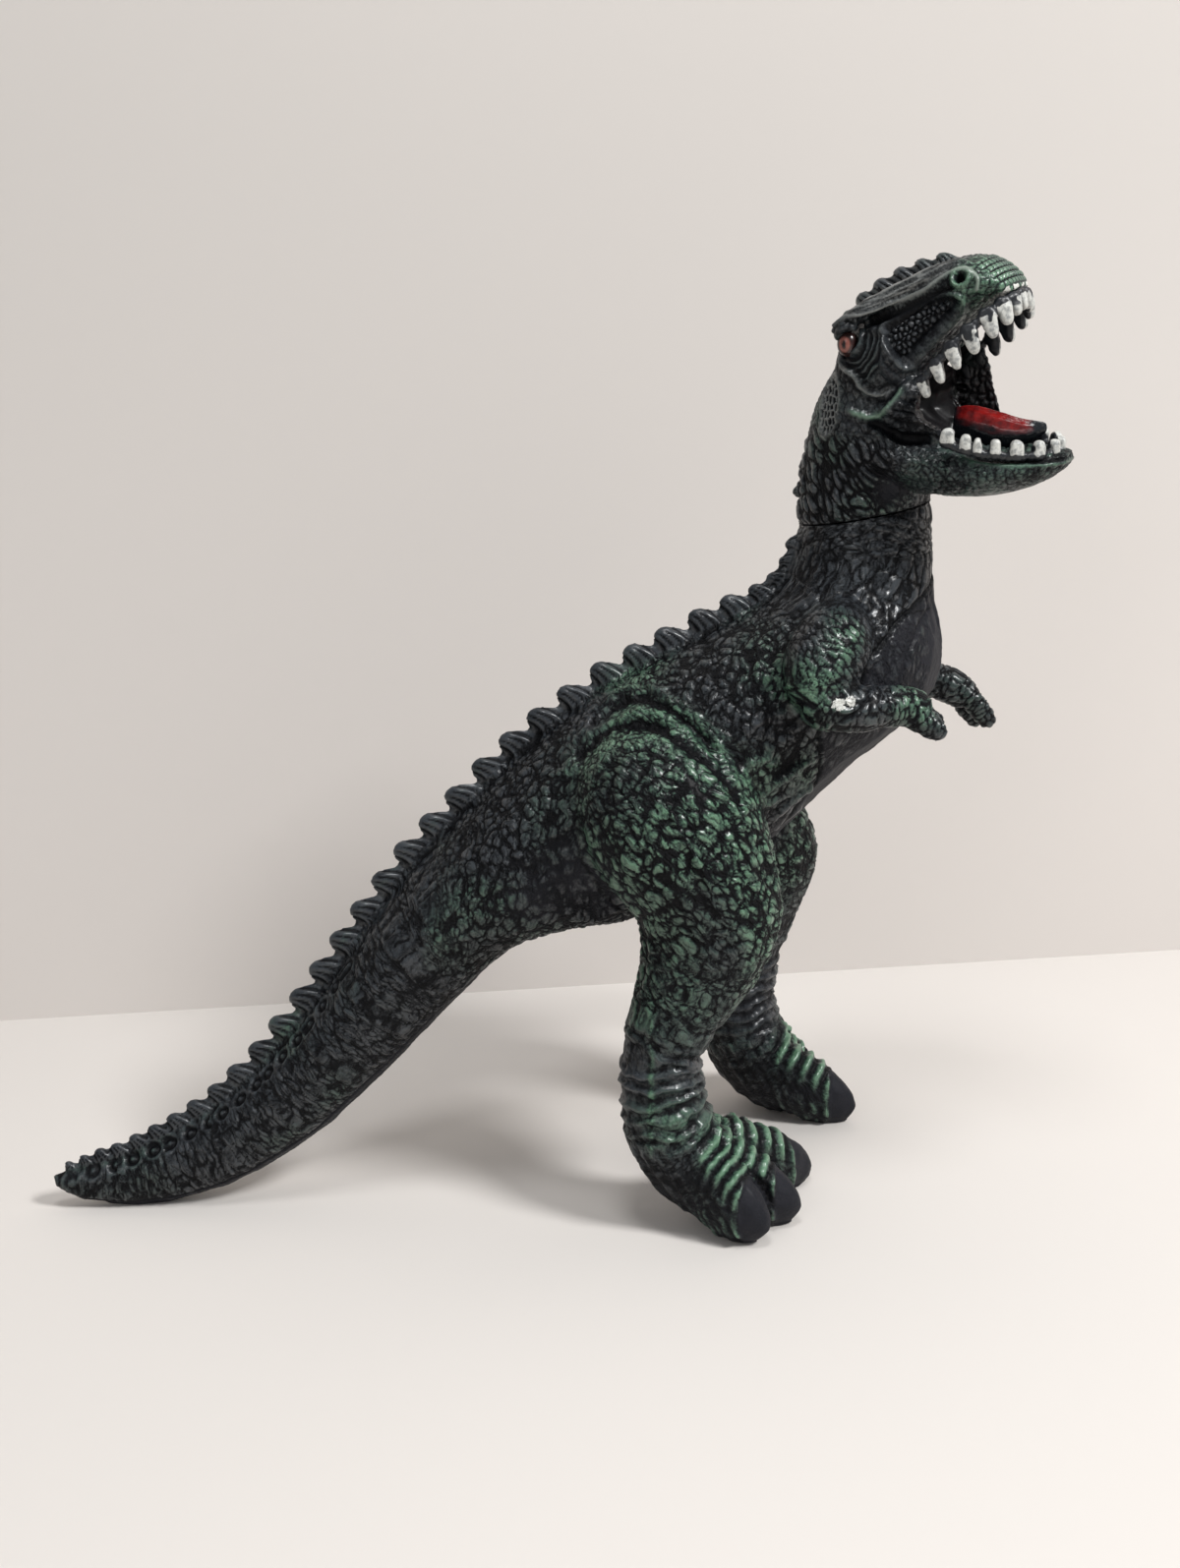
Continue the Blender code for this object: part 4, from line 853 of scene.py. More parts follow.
    height += 0.30 * cloud(points, 6.0, 21) + 0.4 * wide
    ragged = 0.25 * other
    coordinates = chosen(
        [
            on_body * torso, on_body * to_tail + ragged * to_tail, on_body * to_neck + ragged * to_neck,
            on_leg * (1 - to_shin), on_leg * to_shin, on_arm,
        ],
        [
            ((points + 0.6 * warp) / (1.9, 2.6, 3.2)).T,
            (tail_place / (1.5, 4.6, 4.6)).T,
            (neck_place / (1.8, 3.4, 3.4)).T,
            ((slant + 0.6 * warp) / (1.9, 2.8, 4.0)).T,
            (shin_place / (1.9, 3.2, 3.2)).T,
            (arm_place / (1.4, 2.6, 2.6)).T,
        ],
    )
    cells = np.clip(1 - smooth - claw - proud - 0.8 * on_leg * inner, 0, 1) * (1 - 0.75 * at_ankle * on_leg)
    cells *= (1 - 0.8 * toe_ridges) * (1 - 0.6 * instep * on_leg)
    cells *= (1 - in_row * blend_step(4.2, 3.4, gap)) * (1 - seam)
    cells *= 1 - 0.5 * on_arm
    green = 0.22 + 0.40 * cloud(points, 17.0, 31) + patches(side, GREEN_SPOTS)
    green += 0.6 * toe_ridges + 0.6 * mould * on_leg
    green += on_leg * (0.42 * (1 - inner) - 0.35 * at_ankle - 0.25 * instep)
    green += 0.2 * beside - (0.1 + 0.2 * blend_step(-80, -20, x)) * proud + 0.05 * in_row - 0.12 * to_tail
    green -= 0.35 * to_neck * (1 - patches(side, GREEN_NECK_SPOTS))
    for bare in (0.8 * underside, 0.5 * on_leg * inner, 0.9 * claw, 0.45 * in_chest):
        green *= 1 - bare
    plain = np.clip(smooth + 0.5 * on_leg * inner + claw + 0.25 * instep * on_leg * (z < 16), 0, 1)
    plain *= 1 - seam
    scuff = patches(side, SCUFF_SPOTS) * on_arm * (y < 0) * blend_step(0.1, 0.5, -normals[:, 1])
    layers = {"relief": relief, "green": green, "plain": plain, "scuff": scuff, "cells": cells}
    return layers, height, coordinates


def make_body_hide(grain):
    """The body's skins as one moulded hide, with its scales, folds, toes and claws."""
    hide = grown_together("body_hide", BODY_NODES, grain, fins=FINS)
    mesh = hide.data
    points = points_of(mesh)
    pairs = edge_pairs(mesh)
    flat = (points[:, 2] < 0.6) | (np.abs(above_ring(points)) < 1.2)
    proud = fin_marks(points, FINS)[0]
    calm = np.where(flat, 0.0, 0.5) * (1 - 0.4 * proud)
    points = relaxed(points, pairs, 3, calm)
    creases = crease_strength(points) * (~flat)
    points = relaxed(points, pairs, 26, creases * 0.5)
    tips = toe_relief(points, normals_of(mesh))[1]
    fingers = np.where(points[:, 1] < 0, points[:, 0] > 64, points[:, 0] > 98)
    fingers &= (points[:, 2] < 175) & (points[:, 2] > 135)
    points = relaxed(points, pairs, 7, np.maximum(tips, fingers) * 0.5 * (~flat))
    put_points(mesh, points)
    normals = normals_of(mesh)
    layers, height, coordinates = body_relief(points, normals)
    level = above_ring(points)
    seated = np.maximum(
        blend_step(1.0, 0.4, points[:, 2]) * blend_step(0.5, 0.9, -normals[:, 2]),
        blend_step(-1.2, -0.6, level) * blend_step(0.5, 0.9, normals @ np.array(NECK_AXIS)),
    )
    height = height * blend_step(-0.4, -2.0, level)
    points = points + normals * ((height - SWELL / MM - 0.45) * (1 - seated) - SWELL / MM * seated)[:, None]
    finish_hide(mesh, points, layers, coordinates)
    return hide


def crease_strength(points):
    """Where a limb meets the body, from 0 to 1."""
    body_far = along_limb(points, SPINE_ROWS)[1]
    leg_far = nearer_limb(points, LEG_RIGHT, LEG_LEFT)[1]
    arm_far = nearer_limb(points, ARM_RIGHT, ARM_LEFT)[1]
    at_leg = bump(body_far, 1.02, 0.14) * bump(leg_far, 1.02, 0.16)
    at_arm = bump(body_far, 1.02, 0.10) * bump(arm_far, 1.05, 0.3)
    return np.clip(at_leg + 0.8 * at_arm, 0, 1)


# Relief of the head
def within(places, loop):
    """1 inside a closed line and 0 outside, for places in two dimensions."""
    inside = np.zeros(len(places), dtype=bool)
    line = smooth_line([*loop, loop[0]], 4)
    for start, end in zip(line[:-1], line[1:]):
        if start[1] == end[1]:
            continue
        crosses = (start[1] > places[:, 1]) != (end[1] > places[:, 1])
        at = start[0] + (places[:, 1] - start[1]) * (end[0] - start[0]) / (end[1] - start[1])
        inside ^= crosses & (places[:, 0] < at)
    return inside


def hidden_from_side(mesh, points, normals):
    """1 where the surface lies inside the mouth or the neck, seen from either side, level and from above."""
    builder = bmesh.new()
    builder.from_mesh(mesh)
    tree = BVHTree.FromBMesh(builder)
    builder.free()
    outwards = [(0.0, -1.0, 0.0), (0.0, 1.0, 0.0), (0.0, -0.8, 0.6), (0.0, 0.8, 0.6)]
    outwards = directions_from_head(np.array(outwards))
    ways = [Vector(way) for way in outwards]
    clear = 0.0006
    reach = 0.08
    starts = points * MM + SHIFT + normals * clear
    facing = normals @ outwards.T
    hidden = np.ones(len(points))
    for index, start in enumerate(starts):
        origin = Vector(start)
        for way, faces in zip(ways, facing[index]):
            if faces > -0.15 and tree.ray_cast(origin, way, reach)[0] is None:
                hidden[index] = 0.0
                break
    return hidden


def head_relief(points, normals, inside):
    """Height, paint and painted crease shade of the head, whose points are given as it looks straight ahead.
    """
    x, y, z = points.T
    side = points[:, [0, 2]]
    outside = 1.0 - inside
    flank = blend_step(0.05, 0.4, np.abs(normals[:, 1])) * outside
    fine = cloud(points, 2.2, 41)
    soft = cloud(points, 6.0, 42)
    jaw = blend_step(84, 92, x) * blend_step(250, 246, z) * outside
    throat = (1 - blend_step(244, 252, z)) * blend_step(90, 82, x) * outside

    # Skin between the features: small irregular pebbles
    warp = np.stack([fine, cloud(points, 2.2, 43), cloud(points, 2.2, 44)], 1)
    border, _label = lumps((points + 0.5 * warp) / 2.4, 51)
    pebble = blend_step(0.03, 0.4, border)
    height = (0.35 * pebble + 0.25 * soft) * outside
    relief = 0.28 + 0.4 * pebble + 0.25 * soft

    # Neck: creases that sweep down and forward
    slope = np.stack([0.78 * x + 0.62 * z + 1.4 * soft, 0.62 * x - 0.78 * z + fine, y], 1)
    sweep_border, _label = lumps(slope / (2.4, 6.5, 6.5), 52)
    sweep = blend_step(0.03, 0.45, sweep_border)
    neck_zone = throat * blend_step(262, 250, z) * blend_step(84, 76, x)
    height = blended(height, 0.95 * sweep, neck_zone)
    relief = blended(relief, sweep, neck_zone)

    # Pitted oval behind the jaw
    patch = np.hypot((x - NECK_PATCH[0] - 0.10 * (z - NECK_PATCH[1])) / 3.6, (z - NECK_PATCH[1]) / 8.6)
    in_patch = blend_step(1.08, 0.9, patch) * flank
    patch_edge = bump(patch, 1.06, 0.13) * flank
    pit_border, _label = pebbles(x, z, 1.55, 2.3, 53, 0.6)
    net = 1 - blend_step(0.10, 0.32, pit_border)
    height = blended(height, 0.9 * net - 0.5, in_patch) + 0.8 * patch_edge
    relief = blended(relief, net, in_patch)
    relief = np.maximum(relief, 0.9 * patch_edge)

    # Hollow of pebbles in front of the eye
    in_hollow = within(side, CHEEK_HOLLOW) & (flank > 0.02)
    rim_far = line_distance(side, [*CHEEK_HOLLOW, CHEEK_HOLLOW[0]], 4)[0]
    depth = blend_step(0.0, 2.4, rim_far) * in_hollow * flank
    beads = blend_step(1.4, 3.0, rim_far + 0.6 * soft) * in_hollow
    bead_border, _label = pebbles(x + 0.45 * z, z - 0.35 * x, 1.9, 2.1, 54, 0.55)
    bead = blend_step(0.0, 0.55, bead_border)
    rim = bump(rim_far, 0.2, 0.8) * flank
    height = height * (1 - depth) * (1 - rim) + (-3.1 + 1.6 * bead * beads) * depth + 1.3 * rim
    relief = blended(relief, 0.8 * bead * beads + 0.12 * (1 - beads), depth)
    relief = np.maximum(relief, 0.45 * rim)

    # Broad smooth ridge behind the hollow
    ridge = stroke(side, HIND_RIDGE, 1.5) * flank
    height = blended(height, 1.3, ridge)
    relief = blended(relief, 0.35, ridge)

    # Brow: a sharp edge over a hollow darkened with painted shade, and a streaked band up to the crest
    brow_far, brow_side, brow_run, _total = line_distance(side, BROW)
    edge = bump(brow_far, 0.0, 0.62) * blend_step(-0.2, 0.2, np.abs(normals[:, 1]) + normals[:, 2]) * outside
    streak_place = np.stack([brow_run * 0.30 + 0.5 * brow_far, brow_far * 1.9, y * 0.4], 1)
    streaks = blend_step(-0.3, 0.7, cloud(streak_place, 1.0, 55))
    band = blend_step(0.4, 1.2, brow_side) * blend_step(8.5, 6.5, brow_side) * outside
    band *= blend_step(100, 92, x) * blend_step(2.0, 4.0, np.abs(y))
    height = blended(height, 0.12 * streaks, band)
    relief = blended(relief, 0.3 + 0.5 * streaks, band)
    hollow = stroke(side, UNDER_BROW, 1.5) * flank
    height = height * (1 - 0.8 * hollow) * (1 - edge) - 1.9 * hollow + 1.2 * edge
    relief = relief * (1 - hollow)
    relief = np.maximum(relief, edge)

    # Eye: lids, and a sack of stacked wrinkles below and before it
    eye_x = x - EYE[0]
    eye_z = z - EYE[1]
    eye_far = np.hypot(eye_x, eye_z * 0.92)
    sack_far, sack_side, _run, _total = line_distance(side, EYE_SACK)
    lid = bump(eye_far, 3.7, 0.9) * flank
    sack = blend_step(3.9, 4.8, eye_far) * blend_step(13.5, 11.0, eye_far) * blend_step(0.3, 1.4, sack_side)
    sack *= blend_step(-8.0, -3.0, eye_x - 1.2 * eye_z - 6.0) * blend_step(3.0, 1.0, eye_z)
    sack *= blend_step(11, 9, eye_x) * flank
    wrinkle = bump(np.mod(eye_far + 0.9 * soft + 0.4 * fine, 1.75), 0.87, 0.42)
    height = height * (1 - sack) * (1 - lid) + (0.95 * wrinkle - 1.3) * sack + 1.7 * lid
    relief = blended(relief, 0.75 * wrinkle, sack)
    relief = np.maximum(relief, 0.35 * lid)
    sack_edge = stroke(side, EYE_SACK, 0.8) * flank
    height += 1.0 * sack_edge
    relief = np.maximum(relief * (1 - bump(sack_far, 1.8, 0.7) * flank * 0.6), 0.85 * sack_edge)

    # Cheek ridge with folds that fan to the corner of the mouth
    cheek = stroke(side, CHEEK_RIDGE, 1.15) * flank
    fan = np.zeros(len(points))
    lift = np.zeros(len(points))
    for number, line in enumerate(CHEEK_FOLDS):
        far, _side, run, total = line_distance(side, line)
        ends = blend_step(-0.5, 2.5, run) * blend_step(total + 0.4, total - 1.0, run)
        fan = np.maximum(fan, bump(far, 0.0, 1.25 if number == 0 else 0.75) * ends)
        lift = np.maximum(lift, bump(far, 1.7, 0.7) * ends)
    fan *= flank
    lift *= flank * (1 - fan)
    height = height * (1 - 0.8 * fan) - 1.5 * fan + 0.5 * lift + 1.25 * cheek
    relief = relief * (1 - fan) * (1 - 0.5 * lift)
    relief = np.maximum(relief, 0.8 * cheek)

    # Jaw: grooves down its front, a smooth lip and a groove under the teeth darkened with painted shade
    lip_far, lip_side, _run, _total = line_distance(side, LOWER_LIP)
    below = blend_step(0.2, 1.2, -lip_side)
    groove_zone = jaw * below * blend_step(101, 105, x) * blend_step(231.5, 233.5, z)
    groove_zone *= blend_step(1.8, 3.2, lip_far)
    around = np.where(np.abs(normals[:, 1]) > 0.35, x, y * 1.1)
    groove = bump(np.mod(around + 1.1 * soft + 0.5 * fine + 0.12 * z, 2.6), 1.3, 0.3)
    height = height * (1 - 0.35 * groove_zone) - 0.3 * groove * groove_zone
    relief = relief * (1 - 0.6 * groove_zone * groove)
    lip = bump(lip_far, 1.5, 0.7) * below * jaw
    height = blended(height, 0.5, lip)
    relief = blended(relief, 0.6, lip)
    under_teeth = bump(lip_far, 0.2, 0.55) * blend_step(88, 92, x) * outside * blend_step(250, 247, z)
    height -= 0.5 * under_teeth
    relief *= 1 - under_teeth

    # Nostril, snout scales and the upper lip
    nose = np.hypot(x - NOSTRIL[0], (z - NOSTRIL[1]) * 1.1)
    hole = blend_step(1.7, 0.7, nose) * flank
    nose_ring = bump(nose, 2.5, 0.85) * flank
    height = height * (1 - np.clip(nose_ring + hole, 0, 1)) + 1.3 * nose_ring - 2.2 * hole
    relief = relief * (1 - hole)
    relief = np.maximum(relief, 0.8 * nose_ring)
    along = (x - 99.0) * 0.72 - (z - 296.5) * 0.70
    row = np.floor(along / 2.1)
    tile_u = np.mod(along / 2.1, 1.0)
    tile_v = np.mod(y / 2.3 + 0.5 * np.mod(row, 2), 1.0)
    tile_edge = np.minimum(np.minimum(tile_u, 1 - tile_u), np.minimum(tile_v, 1 - tile_v))
    tile = blend_step(0.04, 0.24, tile_edge)
    snout = blend_step(0.0, 2.0, along) * blend_step(17.5, 15.0, along) * blend_step(280, 284, z) * outside
    snout *= blend_step(-0.1, 0.25, normals[:, 0] + normals[:, 2]) * blend_step(0.4, 1.4, nose - 3.2)
    snout *= blend_step(13.5, 11.5, np.abs(y))
    height = blended(height, 0.65 * tile, snout)
    relief = blended(relief, tile, snout)
    top_lip_far = line_distance(side, UPPER_LIP)[0]
    top_lip = bump(top_lip_far, 1.0, 1.3) * outside * blend_step(262, 266, z)
    height = height * (1 - 0.7 * top_lip) + 0.35 * top_lip
    relief = relief * (1 - 0.6 * top_lip) + 0.3 * top_lip

    # Crest: each fin striped from root to tip
    on_crest, stripe = fin_marks(points, CROWN_FINS)
    height = blended(height, 0.3 - 0.4 * stripe, on_crest)
    relief = blended(relief, 0.75 - 0.75 * stripe, on_crest)

    # Inside of the mouth: long soft folds
    folds = bump(np.mod(y * 0.9 + 1.5 * soft, 4.2), 2.1, 1.0)
    height = height * outside + inside * (0.5 * folds - 0.2) * blend_step(232, 240, z)
    relief = relief * outside
    # The cheeks at the mouth's corners take the mouth's dark too, as painted shade
    corner = blend_step(85.0, 87.5, x) * blend_step(249.0, 251.5, z) * blend_step(267.0, 263.0, z)
    corner *= np.abs(y) > 12

    snout_green = blend_step(92, 100, x) * blend_step(276, 288, z)
    green = 0.33 + 0.3 * cloud(points, 14.0, 61) + 0.4 * snout_green + 0.08 * jaw
    green += 0.5 * cheek + 0.6 * nose_ring + 0.15 * lip
    green += 0.35 * throat * cloud(points, 9.0, 62) - 0.5 * band - 0.45 * in_patch - 0.25 * depth
    grey_patch = bump(np.hypot(x - 78.5, z - 231.0), 0.0, 4.6) * flank
    height *= 1 - 0.8 * grey_patch
    relief *= 1 - 0.9 * grey_patch
    plain = np.clip(grey_patch + 0.25 * ridge, 0, 1) * outside
    pale = 0.8 * band + 0.9 * edge * blend_step(60, 70, x) + 0.9 * in_patch * net + 0.5 * patch_edge
    pale = np.clip(np.clip(pale, 0, 1) + 0.5 * sack_edge + 0.12 * rim + 0.2 * cheek, 0, 1) * outside
    white = bump(top_lip_far, 0.1, 0.8) * outside * blend_step(103, 106, x) * blend_step(282, 285, z)
    white *= blend_step(0.0, 0.35, normals[:, 0]) * blend_step(-0.5, 0.0, cloud(points, 1.8, 81))
    cells = np.clip(outside - depth - in_patch - snout - on_crest - hole - 0.7 * grey_patch - lip - fan, 0, 1)
    for smooth in (sack, 0.9 * band, edge, rim, ridge, cheek, sack_edge, lid):
        cells *= 1 - smooth
    cells *= 0.5 + 0.5 * throat
    coordinates = chosen(
        [neck_zone, 1 - neck_zone],
        [
            ((0.78 * x + 0.62 * z + 0.8 * soft) / 1.7, (0.62 * x - 0.78 * z + fine) / 3.6, y / 3.6),
            (points + 0.4 * warp).T / 1.7,
        ],
    )
    # mouth covers what no side view reaches inside the mouth, and the corners: dark vinyl deepened by painted
    # shade
    layers = {
        "relief": relief, "green": green, "plain": plain, "pale": pale, "white": white,
        "mouth": np.maximum(inside, corner), "cells": cells,
    }
    return layers, height, coordinates


def cheek_web():
    """A thin skin between the jaws on the head's left, in front of the mouth's corner."""
    front = smooth_line(CHEEK_WEB, 3)
    corners = []
    for x, z in front:
        corners += [(x, 18.2, z), (x, 19.8, z), (84.0, 18.6, z), (84.0, 20.2, z)]
    faces = [(0, 1, 3, 2), (len(corners) - 4, len(corners) - 2, len(corners) - 1, len(corners) - 3)]
    for row in range(len(front) - 1):
        a = 4 * row
        for b, c in ((0, 1), (1, 3), (3, 2), (2, 0)):
            faces.append((a + b, a + b + 4, a + c + 4, a + c))
    mesh = bpy.data.meshes.new("web")
    mesh.from_pydata([tuple(corner) for corner in corners], [], faces)
    put_points(mesh, from_head(np.array(corners)))
    return mesh


def make_head_hide(grain):
    """The head's moulding with its brows, hollows, folds, snout scales and lips."""
    hide = grown_together("head_hide", ["head_skin"], grain, cheek_web(), CROWN_FINS)
    mesh = hide.data
    points = points_of(mesh)
    pairs = edge_pairs(mesh)
    level = above_ring(points)
    flat = level < 1.6
    place = to_head(points)
    crest = (np.abs(place[:, 1]) < 3.2) & (place[:, 2] > 284.5)
    points = relaxed(points, pairs, 4, np.where(flat, 0.0, np.where(crest, 0.25, 0.5)))
    put_points(mesh, points)
    normals = normals_of(mesh)
    inside = spread(hidden_from_side(mesh, points, normals), pairs, 3)
    layers, height, coordinates = head_relief(to_head(points), directions_to_head(normals), inside)
    seated = blend_step(1.6, 0.9, level) * blend_step(0.5, 0.9, -normals @ np.array(NECK_AXIS))
    height = height * blend_step(0.6, 2.2, level)
    points = points + normals * ((height - SWELL / MM - 0.3) * (1 - seated) - SWELL / MM * seated)[:, None]
    finish_hide(mesh, points, layers, coordinates)
    return hide


def make_teeth(name, teeth, way, taper):
    """A row of blunt lumps on a low gum, white on their outside and dark between."""
    row = [(x, -y, z, wide, long) for x, z, y, wide, long in teeth]
    row += [(x, y, z, wide, long) for x, z, y, wide, long in reversed(teeth)]
    builder = bmesh.new()
    outwards = []
    for x, y, z, wide, long in row:
        outward = np.array((0.45 * (x - 92.0) + 0.5, y, 0.0))
        outward -= way * (outward @ way)
        outward /= np.linalg.norm(outward)
        beside = np.cross(way, outward)
        outwards.append(outward)
        made = bmesh.ops.create_icosphere(builder, subdivisions=3, radius=1.0)["verts"]
        for vertex in made:
            a, b, c = vertex.co
            stretch = sum(abs(value) ** SQUARENESS for value in (a, b, c)) ** (-1 / SQUARENESS)
            spot = np.array((x, y, z)) + way * (0.36 * long + c * stretch * 0.62 * long)
            spot = spot + beside * (a * stretch * wide * (0.54 - taper * c)) + outward * (b * stretch * 1.75)
            vertex.co = Vector(spot)
    for first, second in zip(row[:-1], row[1:]):
        for share in (0.0, 0.34, 0.67, 1.0):
            middle = blended(np.array(first[:3]), np.array(second[:3]), share)
            place = Matrix.Translation(Vector(middle))
            bmesh.ops.create_icosphere(builder, subdivisions=2, radius=GUM_RADIUS, matrix=place)
    mesh = bpy.data.meshes.new(name)
    builder.to_mesh(mesh)
    builder.free()
    put_points(mesh, from_head(corners_of(mesh)))
    item = regrained(name, mesh, TOOTH_GRAIN)
    mesh = item.data
    points = relaxed(points_of(mesh), edge_pairs(mesh), 2, 0.5)
    place = to_head(points)
    facing = directions_to_head(normals_of(mesh))
    white = np.zeros(len(place))
    for (x, y, z, wide, long), outward in zip(row, outwards):
        offset = place - np.array((x, y, z))
        along = offset @ way
        across = offset @ np.cross(way, outward)
        shown = blend_step(-0.25, 0.30, facing @ outward + 0.35 * (facing @ way))
        share = blend_step(0.62 * wide, 0.44 * wide, np.abs(across + 0.25 * cloud(place, 1.5, 71)))
        share *= np.abs(offset @ outward) < 3.0
        share *= blend_step(0.0, 1.0, along + 0.5 * cloud(place, 1.1, 74))
        share *= np.linalg.norm(offset, axis=1) < 2.0 * long
        worn = 6.0 * (taper - 0.03) * blend_step(0.1, 0.6, cloud(place + 7.0 * x, 2.2, 76))
        worn *= blend_step(0.7 * long, 0.3 * long, along)
        white = np.maximum(white, share * shown * (1 - np.minimum(worn, 1.0)))
    put_points(mesh, points + normals_of(mesh) * (0.18 * cloud(place, 1.5, 75))[:, None])
    paint_layer(mesh, "white", white)
    mesh.shade_smooth()
    return item


def make_tongue():
    """The tongue, a slim leaf with a ridge along its middle and an unpainted tip."""
    item = grown_together("painted_tongue", ["tongue"], TONGUE_GRAIN)
    mesh = item.data
    points = relaxed(points_of(mesh), edge_pairs(mesh), 8, 0.5)
    put_points(mesh, points)
    normals = normals_of(mesh)
    place = to_head(points)
    upper = blend_step(0.0, 0.6, directions_to_head(normals)[:, 2])
    ridge = bump(place[:, 1], 0.0, 1.1) * upper
    height = 0.8 * ridge - 0.3 * upper + 0.18 * cloud(place, 2.2, 72) - SWELL / MM
    points = points + normals * height[:, None]
    low = place[:, 0].min()
    share = (place[:, 0] - low) / (place[:, 0].max() - low)
    slim = to_head(points)
    slim[:, 1] *= 0.78 - 0.20 * share * share
    put_points(mesh, from_head(slim))
    red = blend_step(0.88, 0.78, share + 0.03 * cloud(place, 2.0, 73)) * blend_step(0.02, 0.14, share)
    paint_layer(mesh, "red", red * blend_step(0.0, 0.35, directions_to_head(normals_of(mesh))[:, 2]))
    mesh.shade_smooth()
    return item


def make_eye(name, node):
    """A painted eyeball with a standing slit."""
    source = frame["nodes"][node].data
    corners = corners_of(source)
    middle = (corners.min(0) + corners.max(0)) / 2
    radius = (corners.max(0) - corners.min(0)).max() / 2
    builder = bmesh.new()
    bmesh.ops.create_uvsphere(builder, u_segments=48, v_segments=32, radius=radius)
    mesh = bpy.data.meshes.new(name)
    builder.to_mesh(mesh)
    builder.free()
    turned = directions_to_head(corners_of(mesh)) * (0.98, 0.96, 1.22)
    points = directions_from_head(turned) + middle
    mesh.vertices.foreach_set("co", points.astype(np.float32).ravel())
    mesh.update()
    place = to_head((points - SHIFT) / MM)
    ball = to_head(((middle - SHIFT) / MM)[None])[0]
    across = place[:, 0] - ball[0]
    up = place[:, 2] - ball[2]
    paint_layer(mesh, "slit", blend_step(1.15, 0.75, np.hypot(across / 0.62, up / 1.35)))
    paint_layer(mesh, "rim", blend_step(1.7, 2.3, np.hypot(across * 1.15, up * 0.9)))
    mesh.shade_smooth()
    return added(name, mesh)


# Shader expressions
def feed(tree, socket, value):
    """Links a Flow to a socket, or sets the socket to a number, a vector or a colour."""
    if isinstance(value, Flow):
        tree.links.new(value.socket, socket)
    else:
        socket.default_value = (*value, 1.0) if socket.type == "RGBA" else value


class Flow:
    """A socket in a material, with arithmetic that adds its nodes."""

    def __init__(self, tree, socket):
        self.tree = tree
        self.socket = socket

    def _math(self, operation, *values, clamp=False):
        node = self.tree.nodes.new("ShaderNodeMath")
        node.operation = operation
        node.use_clamp = clamp
        for socket, value in zip(node.inputs, values):
            feed(self.tree, socket, value)
        return Flow(self.tree, node.outputs[0])

    def __add__(self, other):
        return self._math("ADD", self, other)

    def __radd__(self, other):
        return self._math("ADD", other, self)

    def __sub__(self, other):
        return self._math("SUBTRACT", self, other)

    def __rsub__(self, other):
        return self._math("SUBTRACT", other, self)

    def __mul__(self, other):
        return self._math("MULTIPLY", self, other)

    def __rmul__(self, other):
        return self._math("MULTIPLY", other, self)

    def __pow__(self, other):
        return self._math("POWER", self, other)

    def clamp(self):
        return self._math("ADD", self, 0.0, clamp=True)

    def step(self, low, high):
        """A smooth rise from 0 at low to 1 at high."""
        node = self.tree.nodes.new("ShaderNodeMapRange")
        node.interpolation_type = "SMOOTHSTEP"
        self.tree.links.new(self.socket, node.inputs["Value"])
        node.inputs["From Min"].default_value = low
        node.inputs["From Max"].default_value = high
        return Flow(self.tree, node.outputs["Result"])


class Finish:
    """A material under construction."""

    def __init__(self, name, roughness=0.5):
        self.material = bpy.data.materials.new(name)
        self.material.use_nodes = True
        self.tree = self.material.node_tree
        self.shader = self.tree.nodes["Principled BSDF"]
        self.shader.inputs["Roughness"].default_value = roughness

    def node(self, kind, settings=None, out=0, **inputs):
        """Adds a node, feeds its inputs, by name or as _ and their number, and gives one of its outputs."""
        made = self.tree.nodes.new(kind)
        for key, value in (settings or {}).items():
            setattr(made, key, value)
        for key, value in inputs.items():
            label = key.replace("_", " ")
            feed(self.tree, made.inputs[label] if label in made.inputs else made.inputs[int(key[1:])], value)
        return Flow(self.tree, made.outputs[out])

    def place(self):
        return self.node("ShaderNodeTexCoord", out="Object")

    def layer(self, name):
        return self.node("ShaderNodeAttribute", {"attribute_name": name}, out="Fac")

    def noise(self, scale, detail=2.0, rough=0.5, where=None):
        where = where or self.place()
        return self.node(
            "ShaderNodeTexNoise", out="Fac", Vector=where, Scale=scale, Detail=detail, Roughness=rough
        )

    def cells(self, scale, where=None):
        settings = {"feature": "DISTANCE_TO_EDGE"}
        where = where or self.place()
        return self.node("ShaderNodeTexVoronoi", settings, out="Distance", Vector=where, Scale=scale)

    def mix(self, share, first, second):
        """A colour between two."""
        made = self.tree.nodes.new("ShaderNodeMix")
        made.data_type = "RGBA"
        for index, value in ((0, share), (6, first), (7, second)):
            feed(self.tree, made.inputs[index], value)
        return Flow(self.tree, made.outputs[2])

    def put(self, name, value):
        feed(self.tree, self.shader.inputs[name], value)

    def rise(self, height, distance, strength=1.0):
        """Surface relief too fine for the mesh."""
        bent = self.node("ShaderNodeBump", out="Normal", Strength=strength, Distance=distance, Height=height)
        self.put("Normal", bent)


def linear(red, green, blue):
    """A colour from its screen values, 0 to 255."""
    result = []
    for value in (red, green, blue):
        share = value / 255
        result.append(share / 12.92 if share <= 0.04045 else ((share + 0.055) / 1.055) ** 2.4)
    return tuple(result)


